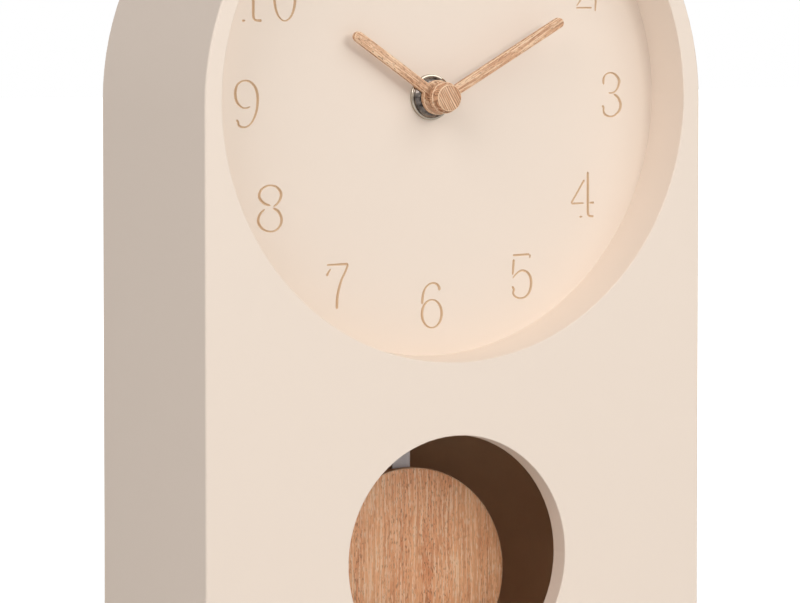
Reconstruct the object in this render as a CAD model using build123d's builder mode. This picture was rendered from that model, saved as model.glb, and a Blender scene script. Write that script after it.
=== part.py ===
from build123d import *
import os
from math import atan, atan2, cos, degrees, hypot, radians, sin, tan

# A desk clock with a pendulum: an arched moulded case, a dial sunk in its front, a round window with a
# wooden bob behind it, and a quartz movement that turns the hands and swings the pendulum.
# Millimetres. X runs across the clock, Y from the front to the back, Z up. The origin is on the table,
# under the middle of the case. Depths are measured back from the case's front face, and places across
# the clock are (x, height) from the middle of the dial.

# Driving dimensions of the case
case_width = 150.0
case_depth = 61.0
case_wall = 2.5
front_wall = 3.0
rim_margin = 5.0
arch_drop = 1.0
window_gap = 19.55
window_radius = 33.0
base_margin = 19.45
foot_stand = 1.0
front_edge = 0.6

# Driving dimensions of the dial recess and the window's collar
recess_depth = 15.4
recess_draft = 0.8
rim_edge = 0.3
dial_seat = 2.0
dial_thickness = 2.5
dial_gap = 0.3
rebate_wall = 1.5
collar_depth = 5.9
collar_draft = 0.1
collar_wall = 2.2

# Driving dimensions of the back cover, its screws and the feet
cover_recess = 2.1
cover_thickness = 2.5
cover_gap = 0.3
opening_width = 64.0
opening_above = 33.0
opening_below = 27.0
opening_corner = 5.0
opening_lip = 2.0
opening_lip_depth = 4.0
boss_radius = 3.5
boss_bite = 0.5
boss_gap = 0.3
top_boss_angle = 50.0
screw_radius = 1.3
screw_length = 10.0
screw_room = 1.0
screw_hole_gap = 0.25
screw_head_radius = 2.5
screw_head_height = 1.7
screw_head_edge = 0.7
foot_radius = 5.0
foot_seat = 0.8
foot_gap = 0.1
foot_edge = 0.4
foot_inset = 14.0

# Driving dimensions of the movement's housing
movement_width = 56.0
movement_above = 28.0
movement_depth = 17.0
movement_corner = 3.0
movement_wall = 1.2
plate_thickness = 1.4
washer_thickness = 0.8
washer_radius = 8.0
partition_drop = 26.8
bay_gap = 0.35
bay_floor = 0.9
bay_seat_gap = 0.25
snap_width = 8.0
snap_thickness = 0.9
snap_reach = 6.0
snap_inset = 10.0
catch_width = 4.0
catch_depth = 0.7
catch_stand = 0.6
catch_gap = 0.1

# Driving dimensions of the hands and what carries them
bush_radius = 3.95
bush_bore_gap = 0.05
bush_reach = 2.8
bush_flange_radius = 5.5
bush_flange = 0.7
dial_hole_gap = 0.15
nut_radius = 6.1
nut_thickness = 2.4
nut_bevel = 1.0
pipe_radius = 2.6
pipe_step = 0.2
arbor_radius = 1.7
arbor_step = 0.3
running_gap = 0.05
hand_thickness = 1.6
hand_width = 2.8
hand_gap = 2.2
hour_hand_gap = 3.2
hour_hand_length = 30.4
minute_hand_length = 41.5
hour_hub_radius = 4.6
minute_hub_radius = 4.2
hour_hand_angle = 304.2
minute_hand_angle = 60.7
hand_edge = 0.25
cap_radius = 3.55
cap_height = 2.15
cap_bore_depth = 1.2
cap_edge = 0.3

# Driving dimensions of the wheels: the module is the pitch diameter over the number of teeth
wheel_thickness = 1.0
layer_gap = 0.6
end_gap = 0.4
middle_thickness = 1.0
setting_module = 0.4
centre_module = 0.255
second_module = 0.27
rotor_module = 0.22
stud_radius = 0.75
third_arbor_radius = 0.6
fine_arbor_radius = 0.5
rotor_arbor_radius = 0.4
arbor_bore_depth = 3.0
pivot_bite = 2.0
plate_pivot_bite = 1.0
bearing_radius = 1.6
centre_hub_radius = 2.8
centre_hub_stand = 0.3
setting_hub_radius = 2.5
train_hub_radius = 1.6
web_margin = 0.8
web_hole_count = 5

# Teeth: how many, and their shape as shares of the module and of the pitch
leaf_count = 8
cannon_leaves = 12
minute_teeth = 36
minute_leaves = 10
hour_teeth = 40
centre_teeth = 64
third_teeth = 60
second_teeth = 40
intermediate_teeth = 48
half_turn = 180.0
full_turn = 360.0
pinion_shares = (0.8, 1.2, 0.26, 0.5)
wheel_shares = (0.9, 1.1, 0.2, 0.64)

# Directions from one arbor to the next, in degrees anticlockwise from the dial's three
minute_wheel_angle = 200.0
knob_angle = -110.0
third_wheel_angle = -30.0
intermediate_angle = -110.0
rotor_angle = -120.0

# Driving dimensions of the middle plate, the motor and the electrical parts
plate_left = 15.0
plate_right = 21.0
plate_above = 9.0
plate_below = 24.0
plate_corner = 2.0
post_radius = 1.5
post_inset = 2.0
magnet_radius = 3.0
magnet_length = 2.3
magnet_gap = 0.4
stator_thickness = 0.8
stator_gap = 0.5
stator_ring = 0.7
stator_arm = 3.4
stator_post_radius = 1.0
stator_post_share = 0.45
coil_offset = 20.0
coil_top_rise = 3.0
coil_bottom_drop = 24.0
core_width = 2.4
core_gap = 0.1
bobbin_radius = 3.7
bobbin_flange = 0.8
bobbin_tube = 0.6
bobbin_length = 14.4
coil_inset = 0.4
board_thickness = 1.0
board_left = 17.4
board_right = 26.0
board_above = 6.0
board_below = 24.0
board_stand = 1.0
board_post_radius = 1.0
board_post_inset = 1.6
crystal_radius = 1.0
crystal_length = 6.0
crystal_inset = 5.0
chip_below_crystal = 8.0
solder_gap = 0.05
chip_radius = 2.2
chip_height = 0.9
chip_edge = 0.4
rotor_hub_radius = 0.9
knob_shaft_radius = 1.0
knob_radius = 5.5
knob_height = 3.5
knob_gap = 0.3
flute_radius = 0.7
flute_count = 16
knob_edge = 0.4

# Driving dimensions of the battery, a standard AA cell
cell_radius = 7.25
cell_length = 50.5
cell_nub_radius = 2.75
cell_nub_length = 1.0
cell_edge = 0.5
contact_thickness = 0.4
contact_width = 8.0
contact_height = 9.0
contact_gap = 0.1
contact_bump = 1.6
cradle_spread = 12.0
cradle_thickness = 1.5
cradle_rise = 3.5
cradle_gap = 0.15

# Driving dimensions of the pendulum and its drive
bob_sag = 6.45
bob_radius = 28.7
bob_thickness = 3.0
bob_edge = 0.4
backing_inset = 1.2
backing_thickness = 2.0
clip_width = 9.0
clip_length = 26.0
clip_floor = 0.4
clip_gap = 0.2
clip_bridge = 0.8
rod_width = 5.4
rod_thickness = 0.6
rod_below_bob = 11.0
rod_top_gap = 1.8
hook_drop = 4.2
hook_radius = 1.0
hook_gap = 0.15
hook_reach = 1.5
hanger_thickness = 1.4
hanger_face_gap = 0.1
hanger_back_gap = 0.8
hanger_width = 5.0
pivot_room = 8.0
pivot_radius = 1.0
eye_radius = 3.0
eye_length = 4.3
eye_gap = 0.2
pin_bite = 4.8
swing_angle = 12.0
swing_gap = 0.6
drive_reach = 16.0
drive_room = 10.0
drive_magnet_radius = 4.0
drive_magnet_length = 2.6
drive_pad_radius = 5.0
drive_coil_gap = 1.3
drive_bobbin_radius = 7.0
drive_flange = 0.8
drive_core_radius = 2.0

# Sizes of the case that follow from those
rim_radius = case_width / 2 - rim_margin
floor_radius = rim_radius - recess_draft
dial_radius = floor_radius + dial_seat
rebate_radius = dial_radius + dial_gap
ring_radius = rebate_radius + rebate_wall
window_drop = rim_radius + window_gap + window_radius
base_drop = window_drop + window_radius + base_margin
dial_height = foot_stand + base_drop
cover_back = case_depth - cover_recess
cover_front = cover_back - cover_thickness
boss_centre = case_width / 2 - case_wall - boss_radius + boss_bite
cover_inset = case_wall + cover_gap

# Depths through the movement, from the front
dial_back = recess_depth + dial_thickness
movement_front = dial_back + washer_thickness
movement_back = movement_front + movement_depth
train_front = movement_front + plate_thickness
train_back = movement_back - movement_wall
layer_pitch = wheel_thickness + layer_gap
hour_front = train_front + end_gap
minute_front = hour_front + layer_pitch
centre_front = minute_front + layer_pitch
middle_front = centre_front + layer_pitch
middle_back = middle_front + middle_thickness
third_front = middle_back + layer_gap
second_front = third_front + layer_pitch
intermediate_front = second_front + layer_pitch
bearing_front = intermediate_front + layer_pitch
bush_front = recess_depth - bush_reach
hour_hand_back = recess_depth - hour_hand_gap
hour_hand_front = hour_hand_back - hand_thickness
minute_hand_back = hour_hand_front - hand_gap
minute_hand_front = minute_hand_back - hand_thickness
cap_front = minute_hand_front - cap_height
bush_bore = pipe_radius + bush_bore_gap

# Depths through the pendulum, worked forward from the movement's back
hanger_back = train_back - hanger_back_gap
hanger_front = hanger_back - hanger_thickness
rod_back = hanger_front - hanger_face_gap
rod_front = rod_back - rod_thickness
backing_back = rod_front - clip_gap - clip_floor
bob_back = backing_back - backing_thickness
bob_front = bob_back - bob_thickness
bob_drop = window_drop + bob_sag


def beside(start, distance, direction):
    """The point at a distance from a start, in a direction in degrees."""
    angle = radians(direction)
    return (start[0] + distance * cos(angle), start[1] + distance * sin(angle))


def mesh_distance(first_teeth, second_teeth, module_size):
    """How far apart two meshing gears stand: the sum of their pitch radii."""
    return module_size * (first_teeth + second_teeth) / 2


def meshed_angle(teeth, first_tooth, direction, mate_teeth):
    """Where a mate's first tooth stands, so that its gap faces the tooth of the gear that drives it."""
    return direction + half_turn - (first_tooth - direction) * teeth / mate_teeth + half_turn / mate_teeth


# Places of the arbors, from the middle of the dial
centre = (0, 0)
setting_distance = mesh_distance(cannon_leaves, minute_teeth, setting_module)
third_distance = mesh_distance(leaf_count, centre_teeth, centre_module)
third_module = 2 * third_distance / (leaf_count + third_teeth)
minute_place = beside(centre, setting_distance, minute_wheel_angle)
knob_place = beside(minute_place, setting_distance, knob_angle)
third_place = beside(centre, third_distance, third_wheel_angle)
intermediate_distance = mesh_distance(leaf_count, second_teeth, second_module)
intermediate_place = beside(centre, intermediate_distance, intermediate_angle)
rotor_distance = mesh_distance(leaf_count, intermediate_teeth, rotor_module)
rotor_place = beside(intermediate_place, rotor_distance, rotor_angle)
hour_module = 2 * setting_distance / (minute_leaves + hour_teeth)

# The first tooth of each wheel that meshes with a pinion whose own first leaf points to three
minute_first = meshed_angle(cannon_leaves, 0, minute_wheel_angle, minute_teeth)
knob_first = meshed_angle(minute_teeth, minute_first, knob_angle, cannon_leaves)
hour_first = meshed_angle(minute_leaves, 0, minute_wheel_angle + half_turn, hour_teeth)
centre_first = meshed_angle(leaf_count, 0, third_wheel_angle + half_turn, centre_teeth)
third_first = meshed_angle(leaf_count, 0, third_wheel_angle, third_teeth)
second_first = meshed_angle(leaf_count, 0, intermediate_angle + half_turn, second_teeth)
intermediate_first = meshed_angle(leaf_count, 0, rotor_angle + half_turn, intermediate_teeth)

# Sizes inside the movement that follow from those
pivot_drop = partition_drop + movement_wall + pivot_room
drive_drop = pivot_drop + drive_reach
movement_below = drive_drop + drive_room
movement_side = movement_width / 2
movement_outline = (-movement_side, movement_side, -movement_below, movement_above)
chamber_side = movement_side - movement_wall
plate_middle = train_front - plate_thickness / 2
bay_high = movement_above - movement_wall
bay_low = bay_high - 2 * (cell_radius + bay_gap)
bay_middle = (bay_low + bay_high) / 2
bay_front = train_front + bay_floor
snap_side = movement_side + snap_thickness
snap_heights = (movement_above - snap_inset, snap_inset - movement_below)
catch_front = plate_middle - catch_depth / 2
catch_back = plate_middle + catch_depth / 2
cell_depth = bay_front + bay_seat_gap + cell_radius
pivot_front = train_front - plate_pivot_bite
pivot_back = bearing_front + pivot_bite
stud_back = minute_front + layer_pitch - layer_gap / 2
hub_front = centre_front - centre_hub_stand
hub_back = centre_front + wheel_thickness + centre_hub_stand
arbor_tip = minute_hand_front - cap_bore_depth
arbor_back = middle_front + middle_thickness / 2
knob_front = movement_back + knob_gap
post_places = [
    (across, height)
    for across in (post_inset - plate_left, plate_right - post_inset)
    for height in (plate_above - post_inset, post_inset - plate_below)
]
plate_bearings = [
    (centre, arbor_radius),
    (third_place, third_arbor_radius),
    (intermediate_place, fine_arbor_radius),
    (rotor_place, rotor_arbor_radius),
    (knob_place, knob_shaft_radius),
]
bearings = [(centre, fine_arbor_radius)] + plate_bearings[1:4]

# Sizes of the motor, the board and the window that follow
magnet_front = middle_back + magnet_gap
stator_front = magnet_front + (magnet_length - stator_thickness) / 2
stator_back = stator_front + stator_thickness
core_back = stator_back + stator_thickness
core_middle = (stator_back + core_back) / 2
coil_ends = [(-coil_offset, coil_top_rise), (-coil_offset, -coil_bottom_drop)]
bobbin_middle = (coil_top_rise - coil_bottom_drop) / 2
bobbin_low = bobbin_middle - bobbin_length / 2
bobbin_high = bobbin_middle + bobbin_length / 2
coil_low = bobbin_low + bobbin_flange
coil_high = bobbin_high - bobbin_flange
bobbin_tube_radius = core_width / 2 + core_gap + bobbin_tube
stator_posts = [
    tuple(start + stator_post_share * (stop - start) for start, stop in zip(end, rotor_place))
    for end in coil_ends
]
board_front = middle_back + board_stand
board_back = board_front + board_thickness
board_middle = (board_left + board_right) / 2
board_posts = [
    (board_left + board_post_inset, height)
    for height in (board_above - board_post_inset, board_post_inset - board_below)
]
crystal_depth = board_back + solder_gap + crystal_radius
crystal_low = board_above - crystal_inset - crystal_length
chip_height_place = crystal_low - chip_below_crystal
window_place = (0, -window_drop)
pilot_front = cover_back - screw_length - screw_room

# Places along the pendulum
pivot_place = (0, -pivot_drop)
drive_place = (0, -drive_drop)
hook_place = (0, -movement_below - hook_drop)
bob_place = (0, -bob_drop)
eye_front = hanger_back - eye_length
pin_front = eye_front - eye_gap - pin_bite
pin_back = train_back + movement_wall / 2
rod_foot_drop = bob_drop + rod_below_bob
drive_back = hanger_front - drive_magnet_length - drive_coil_gap
slot_reach = (movement_below - pivot_drop) * tan(radians(swing_angle))
slot_front = hanger_front - swing_gap
slot_back = hanger_back + swing_gap
slot_side = slot_reach + hanger_width / (2 * cos(radians(swing_angle))) + swing_gap


def face_plane(depth):
    """A plane across the clock at a depth behind its front face, seen from the front."""
    return Plane(origin=(0, depth - case_depth / 2, dial_height), x_dir=(1, 0, 0), z_dir=(0, -1, 0))


def disc(place, radius, front, back, mode=Mode.ADD):
    """Adds or cuts a round disc between two depths."""
    with BuildSketch(face_plane(back)) as outline:
        with Locations(place):
            Circle(radius)
    extrude(outline.sketch, amount=back - front, mode=mode)


def block(left, right, low, high, front, back, corner=0, mode=Mode.ADD):
    """Adds or cuts a block between two depths, with its upright corners rounded."""
    with BuildSketch(face_plane(back)) as outline:
        with Locations(((left + right) / 2, (low + high) / 2)):
            if corner:
                RectangleRounded(right - left, high - low, corner)
            else:
                Rectangle(right - left, high - low)
    extrude(outline.sketch, amount=back - front, mode=mode)


def arched_block(inset, front, back, mode=Mode.ADD):
    """Adds or cuts the case's arched outline, drawn in by an inset, between two depths."""
    half = case_width / 2 - inset
    with BuildSketch(face_plane(back)) as outline:
        with BuildLine():
            Line((-half, inset - base_drop), (half, inset - base_drop))
            Line((half, inset - base_drop), (half, -arch_drop))
            ThreePointArc((half, -arch_drop), (0, half - arch_drop), (-half, -arch_drop))
            Line((-half, -arch_drop), (-half, inset - base_drop))
        make_face()
    extrude(outline.sketch, amount=back - front, mode=mode)


def tapered_hole(place, front_radius, back_radius, depth):
    """Cuts a round hole from the front face that narrows with the mould's draft."""
    with BuildSketch(face_plane(depth)) as outline:
        with Locations(place):
            Circle(back_radius)
    draft = degrees(atan((front_radius - back_radius) / depth))
    extrude(outline.sketch, amount=depth, taper=-draft, mode=Mode.SUBTRACT)


def gear(place, teeth, module_size, shares, first_tooth, front, thickness=wheel_thickness, hub=0):
    """Adds a gear: straight-flanked teeth, their height from the module and their width from the pitch.

    A wheel with a hub has a ring of round holes through its web, between the hub and the teeth.
    """
    above, below, tip_share, root_share = shares
    pitch_radius = module_size * teeth / 2
    tip_radius = pitch_radius + above * module_size
    root_radius = pitch_radius - below * module_size
    pitch = full_turn / teeth
    corners = [
        (root_radius, -root_share),
        (tip_radius, -tip_share),
        (tip_radius, tip_share),
        (root_radius, root_share),
    ]
    points = [
        beside(place, radius, first_tooth + (tooth + share / 2) * pitch)
        for tooth in range(teeth)
        for radius, share in corners
    ]
    with BuildSketch(face_plane(front + thickness)) as outline:
        Polygon(*points, align=None)
        if hub:
            with Locations(place):
                with PolarLocations((root_radius + hub) / 2, web_hole_count):
                    Circle((root_radius - hub) / 2 - web_margin, mode=Mode.SUBTRACT)
    extrude(outline.sketch, amount=thickness)


def upright_disc(across, depth, radius, low, high, mode=Mode.ADD):
    """Adds or cuts a round bar that stands upright between two heights from the middle of the dial."""
    with BuildSketch(Plane.XY.offset(dial_height + low)) as outline:
        with Locations((across, depth - case_depth / 2)):
            Circle(radius)
    extrude(outline.sketch, amount=high - low, mode=mode)


def cross_disc(height, depth, radius, left, right, mode=Mode.ADD):
    """Adds or cuts a round bar that lies across the clock between two places."""
    with BuildSketch(Plane.YZ.offset(left)) as outline:
        with Locations((depth - case_depth / 2, dial_height + height)):
            Circle(radius)
    extrude(outline.sketch, amount=right - left, mode=mode)


def strip(start, stop, width):
    """Draws a round-ended strip between two points in the sketch at hand."""
    run = (stop[0] - start[0], stop[1] - start[1])
    with Locations(((start[0] + stop[0]) / 2, (start[1] + stop[1]) / 2)):
        SlotCenterToCenter(hypot(*run), width, rotation=degrees(atan2(run[1], run[0])))


def hand_blade(length, angle, front, back):
    """Adds a straight hand with a round tip, pointing clockwise from twelve by an angle."""
    with BuildSketch(face_plane(back)) as outline:
        strip(centre, beside(centre, length - hand_width / 2, 90 - angle), hand_width)
    extrude(outline.sketch, amount=back - front)


# The hollows of the movement's rear case: the wheels, the battery, the pendulum's drive and its slot
housing_hollows = [
    (chamber_side, -partition_drop, bay_low - movement_wall, train_front, train_back),
    (chamber_side, bay_low, bay_high, bay_front, movement_back),
    (chamber_side, movement_wall - movement_below, -partition_drop - movement_wall, train_front, train_back),
    (slot_side, -movement_below, movement_wall - movement_below, slot_front, slot_back),
]

# Screw places: two in the bottom corners, two between the dial and the window, two in the arch
corner_drop = base_drop - (case_width / 2 - boss_centre)
middle_drop = rim_radius + window_gap / 2
arch_boss = beside((0, -arch_drop), boss_centre, top_boss_angle)
front_bosses = [(side * boss_centre, -drop) for side in (-1, 1) for drop in (corner_drop, middle_drop)]
arch_bosses = [(side * arch_boss[0], arch_boss[1]) for side in (-1, 1)]
screw_places = front_bosses + arch_bosses
foot_spread = GridLocations(case_width - 2 * foot_inset, case_depth - 2 * foot_inset, 2, 2)

# Front shell: one arched moulding with the dial's recess, the window's collar and the screw bosses
with BuildPart() as front_shell:
    arched_block(0, 0, case_depth)
    fillet(front_shell.edges().group_by(Axis.Y)[0], front_edge)
    arched_block(case_wall, front_wall, case_depth, Mode.SUBTRACT)
    disc(centre, ring_radius, front_wall / 2, dial_back)
    disc(window_place, window_radius + collar_wall, front_wall / 2, collar_depth)
    for place in front_bosses:
        disc(place, boss_radius, front_wall / 2, cover_front)
    for place in arch_bosses:
        disc(place, boss_radius, dial_back + boss_gap, cover_front)
    for place in screw_places:
        disc(place, screw_radius, pilot_front, cover_front, Mode.SUBTRACT)
    tapered_hole(centre, rim_radius, floor_radius, recess_depth)
    disc(centre, rebate_radius, recess_depth, dial_back, Mode.SUBTRACT)
    tapered_hole(window_place, window_radius, window_radius - collar_draft, collar_depth)
    rims = front_shell.edges().filter_by(GeomType.CIRCLE).group_by(Axis.Y)[0]
    fillet(rims.filter_by(lambda edge: edge.is_closed), rim_edge)
    with BuildSketch(Plane.XY.offset(foot_stand)):
        with foot_spread:
            Circle(foot_radius + foot_gap)
    extrude(amount=foot_seat, mode=Mode.SUBTRACT)

# Dial: the disc that closes the recess from behind, with the hole for the movement's bush
with BuildPart() as dial:
    disc(centre, dial_radius, recess_depth, dial_back)
    disc(centre, bush_radius + dial_hole_gap, recess_depth, dial_back, Mode.SUBTRACT)

# Back cover: an arched plate inside the shell's back edge, with a lipped opening behind the movement
with BuildPart() as back_cover:
    arched_block(cover_inset, cover_front, cover_back)
    block(
        -opening_width / 2 - opening_lip,
        opening_width / 2 + opening_lip,
        -opening_below - opening_lip,
        opening_above + opening_lip,
        cover_front - opening_lip_depth,
        cover_front,
        opening_corner + opening_lip,
    )
    block(
        -opening_width / 2,
        opening_width / 2,
        -opening_below,
        opening_above,
        cover_front - opening_lip_depth,
        cover_back,
        opening_corner,
        Mode.SUBTRACT,
    )
    for place in screw_places:
        disc(place, screw_radius + screw_hole_gap, cover_front, cover_back, Mode.SUBTRACT)

# Cover screws: one into each boss, their heads on the cover
with BuildPart() as cover_screws:
    for place in screw_places:
        disc(place, screw_radius, cover_back - screw_length, cover_back)
        disc(place, screw_head_radius, cover_back, cover_back + screw_head_height)
    heads = cover_screws.edges().filter_by(GeomType.CIRCLE).group_by(Axis.Y)[-1]
    chamfer(heads, screw_head_edge)

# Rubber feet: four round pads set into the shell's base
with BuildPart() as rubber_feet:
    with BuildSketch(Plane.XY):
        with foot_spread:
            Circle(foot_radius)
    extrude(amount=foot_stand + foot_seat)
    chamfer(rubber_feet.edges().group_by(Axis.Z)[0], foot_edge)

# Movement front plate: carries the bush, the minute wheel's stud, the posts and the front bearings, and
# the catches that the rear case snaps over
with BuildPart() as movement_front_plate:
    block(*movement_outline, movement_front, train_front, movement_corner)
    for height in snap_heights:
        block(
            -movement_side - catch_stand,
            movement_side + catch_stand,
            height - catch_width / 2,
            height + catch_width / 2,
            catch_front,
            catch_back,
        )
    disc(centre, bush_radius, movement_front, train_front, Mode.SUBTRACT)
    disc(centre, bush_flange_radius, train_front - bush_flange, train_front, Mode.SUBTRACT)
    for place, radius in ((third_place, third_arbor_radius), (knob_place, stud_radius)):
        disc(place, radius + running_gap, pivot_front, train_front, Mode.SUBTRACT)
    disc(minute_place, stud_radius, plate_middle, stud_back)
    for place in post_places:
        disc(place, post_radius, plate_middle, middle_front)
    disc(pivot_place, eye_radius, plate_middle, eye_front - eye_gap)
    disc(pivot_place, pivot_radius, pin_front, eye_front - eye_gap, Mode.SUBTRACT)

# Movement rear case: a tray with the wheels' chamber, the battery's bay and the pendulum's chamber, held
# on the front plate's catches by four snap loops
with BuildPart() as movement_rear_case:
    block(*movement_outline, train_front, movement_back, movement_corner)
    for height in snap_heights:
        low, high = height - snap_width / 2, height + snap_width / 2
        block(-snap_side, snap_side, low, high, movement_front, train_front + snap_reach)
        block(-movement_side, movement_side, low, high, movement_front, train_front, mode=Mode.SUBTRACT)
        window = catch_width / 2 + catch_gap
        low, high = height - window, height + window
        front, back = catch_front - catch_gap, catch_back + catch_gap
        block(-snap_side, snap_side, low, high, front, back, mode=Mode.SUBTRACT)
    for side, low, high, front, back in housing_hollows:
        block(-side, side, low, high, front, back, mode=Mode.SUBTRACT)
    for side in (-1, 1):
        block(
            side * cradle_spread - cradle_thickness / 2,
            side * cradle_spread + cradle_thickness / 2,
            bay_low,
            bay_high,
            bay_front,
            bay_front + cradle_rise,
        )
    cross_disc(bay_middle, cell_depth, cell_radius + cradle_gap, -chamber_side, chamber_side, Mode.SUBTRACT)
    for place, radius in bearings:
        disc(place, bearing_radius, bearing_front, movement_back)
        disc(place, radius + running_gap, bearing_front, pivot_back + end_gap, Mode.SUBTRACT)
    disc(knob_place, knob_shaft_radius + running_gap, train_back, movement_back, Mode.SUBTRACT)
    disc(pivot_place, eye_radius, hanger_back + eye_gap, movement_back)
    disc(pivot_place, pivot_radius, hanger_back + eye_gap, pin_back, Mode.SUBTRACT)

# Middle plate: holds the inner ends of the fast arbors, the stator and the circuit board
with BuildPart() as middle_plate:
    block(-plate_left, plate_right, -plate_below, plate_above, middle_front, middle_back, plate_corner)
    for place in stator_posts:
        disc(place, stator_post_radius, middle_front, stator_front)
    for place in board_posts:
        disc(place, board_post_radius, middle_front, board_front)
    for place, radius in plate_bearings:
        disc(place, radius + running_gap, middle_front, middle_back, Mode.SUBTRACT)

# Fixing bush: the flanged tube that comes through the dial and carries the hour pipe
with BuildPart() as fixing_bush:
    disc(centre, bush_radius, bush_front, train_front)
    disc(centre, bush_flange_radius, train_front - bush_flange, train_front)
    disc(centre, bush_bore, bush_front, train_front, Mode.SUBTRACT)

# Rubber washer: between the dial's back and the movement
with BuildPart() as rubber_washer:
    disc(centre, washer_radius, dial_back, movement_front)
    disc(centre, bush_radius + dial_hole_gap, dial_back, movement_front, Mode.SUBTRACT)

# Dial nut: the polished round nut that clamps the movement to the dial
with BuildPart() as dial_nut:
    disc(centre, nut_radius, recess_depth - nut_thickness, recess_depth)
    chamfer(dial_nut.edges().group_by(Axis.Y)[0], nut_bevel)
    disc(centre, bush_radius, recess_depth - nut_thickness, recess_depth, Mode.SUBTRACT)

# Hour hand, on the end of the hour wheel's pipe
with BuildPart() as hour_hand:
    hand_blade(hour_hand_length, hour_hand_angle, hour_hand_front, hour_hand_back)
    disc(centre, hour_hub_radius, hour_hand_front, hour_hand_back)
    chamfer(hour_hand.edges().group_by(Axis.Y)[0], hand_edge)
    disc(centre, pipe_radius - pipe_step, hour_hand_front, hour_hand_back, Mode.SUBTRACT)

# Minute hand, on the end of the minute arbor
with BuildPart() as minute_hand:
    hand_blade(minute_hand_length, minute_hand_angle, minute_hand_front, minute_hand_back)
    disc(centre, minute_hub_radius, minute_hand_front, minute_hand_back)
    chamfer(minute_hand.edges().group_by(Axis.Y)[0], hand_edge)
    disc(centre, arbor_radius - arbor_step, minute_hand_front, minute_hand_back, Mode.SUBTRACT)

# Hand cap: the wooden button pushed over the arbor's tip
with BuildPart() as hand_cap:
    disc(centre, cap_radius, cap_front, minute_hand_front)
    chamfer(hand_cap.edges().group_by(Axis.Y)[0], cap_edge)
    disc(centre, arbor_radius - arbor_step, arbor_tip, minute_hand_front, Mode.SUBTRACT)

# Minute arbor with its cannon pinion, hollow at the back for the second wheel's pivot
with BuildPart() as minute_arbor:
    disc(centre, arbor_radius - arbor_step, arbor_tip, minute_hand_back)
    disc(centre, arbor_radius, minute_hand_back, arbor_back)
    gear(centre, cannon_leaves, setting_module, pinion_shares, 0, minute_front)
    disc(centre, fine_arbor_radius + running_gap, arbor_back - arbor_bore_depth, arbor_back, Mode.SUBTRACT)

# Hour wheel with its pipe, stepped down for the hand
with BuildPart() as hour_wheel:
    gear(centre, hour_teeth, hour_module, wheel_shares, hour_first, hour_front, hub=pipe_radius)
    disc(centre, pipe_radius, hour_hand_back, hour_front + wheel_thickness)
    disc(centre, pipe_radius - pipe_step, hour_hand_front, hour_hand_back)
    disc(centre, arbor_radius + running_gap, hour_hand_front, hour_front + wheel_thickness, Mode.SUBTRACT)

# Minute wheel with its pinion, on the front plate's stud
with BuildPart() as minute_wheel:
    minute_shape = (minute_teeth, setting_module, wheel_shares, minute_first)
    gear(minute_place, *minute_shape, minute_front, hub=setting_hub_radius)
    gear(minute_place, minute_leaves, hour_module, pinion_shares, 0, hour_front, layer_pitch)
    disc(minute_place, stud_radius + running_gap, hour_front, minute_front + wheel_thickness, Mode.SUBTRACT)

# Setting knob: shaft, pinion and the fluted knob behind the movement
with BuildPart() as setting_knob:
    disc(knob_place, stud_radius, pivot_front + running_gap, minute_front)
    disc(knob_place, knob_shaft_radius, minute_front, knob_front)
    gear(knob_place, cannon_leaves, setting_module, pinion_shares, knob_first, minute_front)
    disc(knob_place, knob_radius, knob_front, knob_front + knob_height)
    chamfer(setting_knob.edges().group_by(Axis.Y)[-1], knob_edge)
    with BuildSketch(face_plane(knob_front + knob_height)):
        with Locations(knob_place):
            with PolarLocations(knob_radius + flute_radius / 2, flute_count):
                Circle(flute_radius)
    extrude(amount=knob_height, mode=Mode.SUBTRACT)

# Centre wheel: turns the minute arbor through the grip of its hub
with BuildPart() as centre_wheel:
    centre_shape = (centre_teeth, centre_module, wheel_shares, centre_first)
    gear(centre, *centre_shape, centre_front, hub=centre_hub_radius)
    disc(centre, centre_hub_radius, hub_front, hub_back)
    disc(centre, arbor_radius + running_gap, hub_front, hub_back, Mode.SUBTRACT)

# Third wheel: its pinion turns the centre wheel
with BuildPart() as third_wheel:
    disc(third_place, third_arbor_radius, pivot_front + running_gap, pivot_back)
    gear(third_place, leaf_count, centre_module, pinion_shares, 0, centre_front)
    third_shape = (third_teeth, third_module, wheel_shares, third_first)
    gear(third_place, *third_shape, third_front, hub=train_hub_radius)

# Second wheel: on the clock's axis behind the minute arbor, its pinion turns the third wheel
with BuildPart() as second_wheel:
    disc(centre, fine_arbor_radius, arbor_back - arbor_bore_depth + end_gap, pivot_back)
    gear(centre, leaf_count, third_module, pinion_shares, 0, third_front)
    second_shape = (second_teeth, second_module, wheel_shares, second_first)
    gear(centre, *second_shape, second_front, hub=train_hub_radius)

# Intermediate wheel: takes the rotor's steps to the second wheel
with BuildPart() as intermediate_wheel:
    disc(intermediate_place, fine_arbor_radius, middle_front, pivot_back)
    gear(intermediate_place, leaf_count, second_module, pinion_shares, 0, second_front)
    intermediate_shape = (intermediate_teeth, rotor_module, wheel_shares, intermediate_first)
    gear(intermediate_place, *intermediate_shape, intermediate_front, hub=train_hub_radius)

# Rotor: the pinion's arbor and the round magnet on it
with BuildPart() as rotor_pinion:
    disc(rotor_place, rotor_arbor_radius, middle_front, pivot_back)
    disc(rotor_place, rotor_hub_radius, magnet_front, magnet_front + magnet_length)
    gear(rotor_place, leaf_count, rotor_module, pinion_shares, 0, intermediate_front)

with BuildPart() as rotor_magnet:
    disc(rotor_place, magnet_radius, magnet_front, magnet_front + magnet_length)
    disc(rotor_place, rotor_hub_radius, magnet_front, magnet_front + magnet_length, Mode.SUBTRACT)

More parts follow.
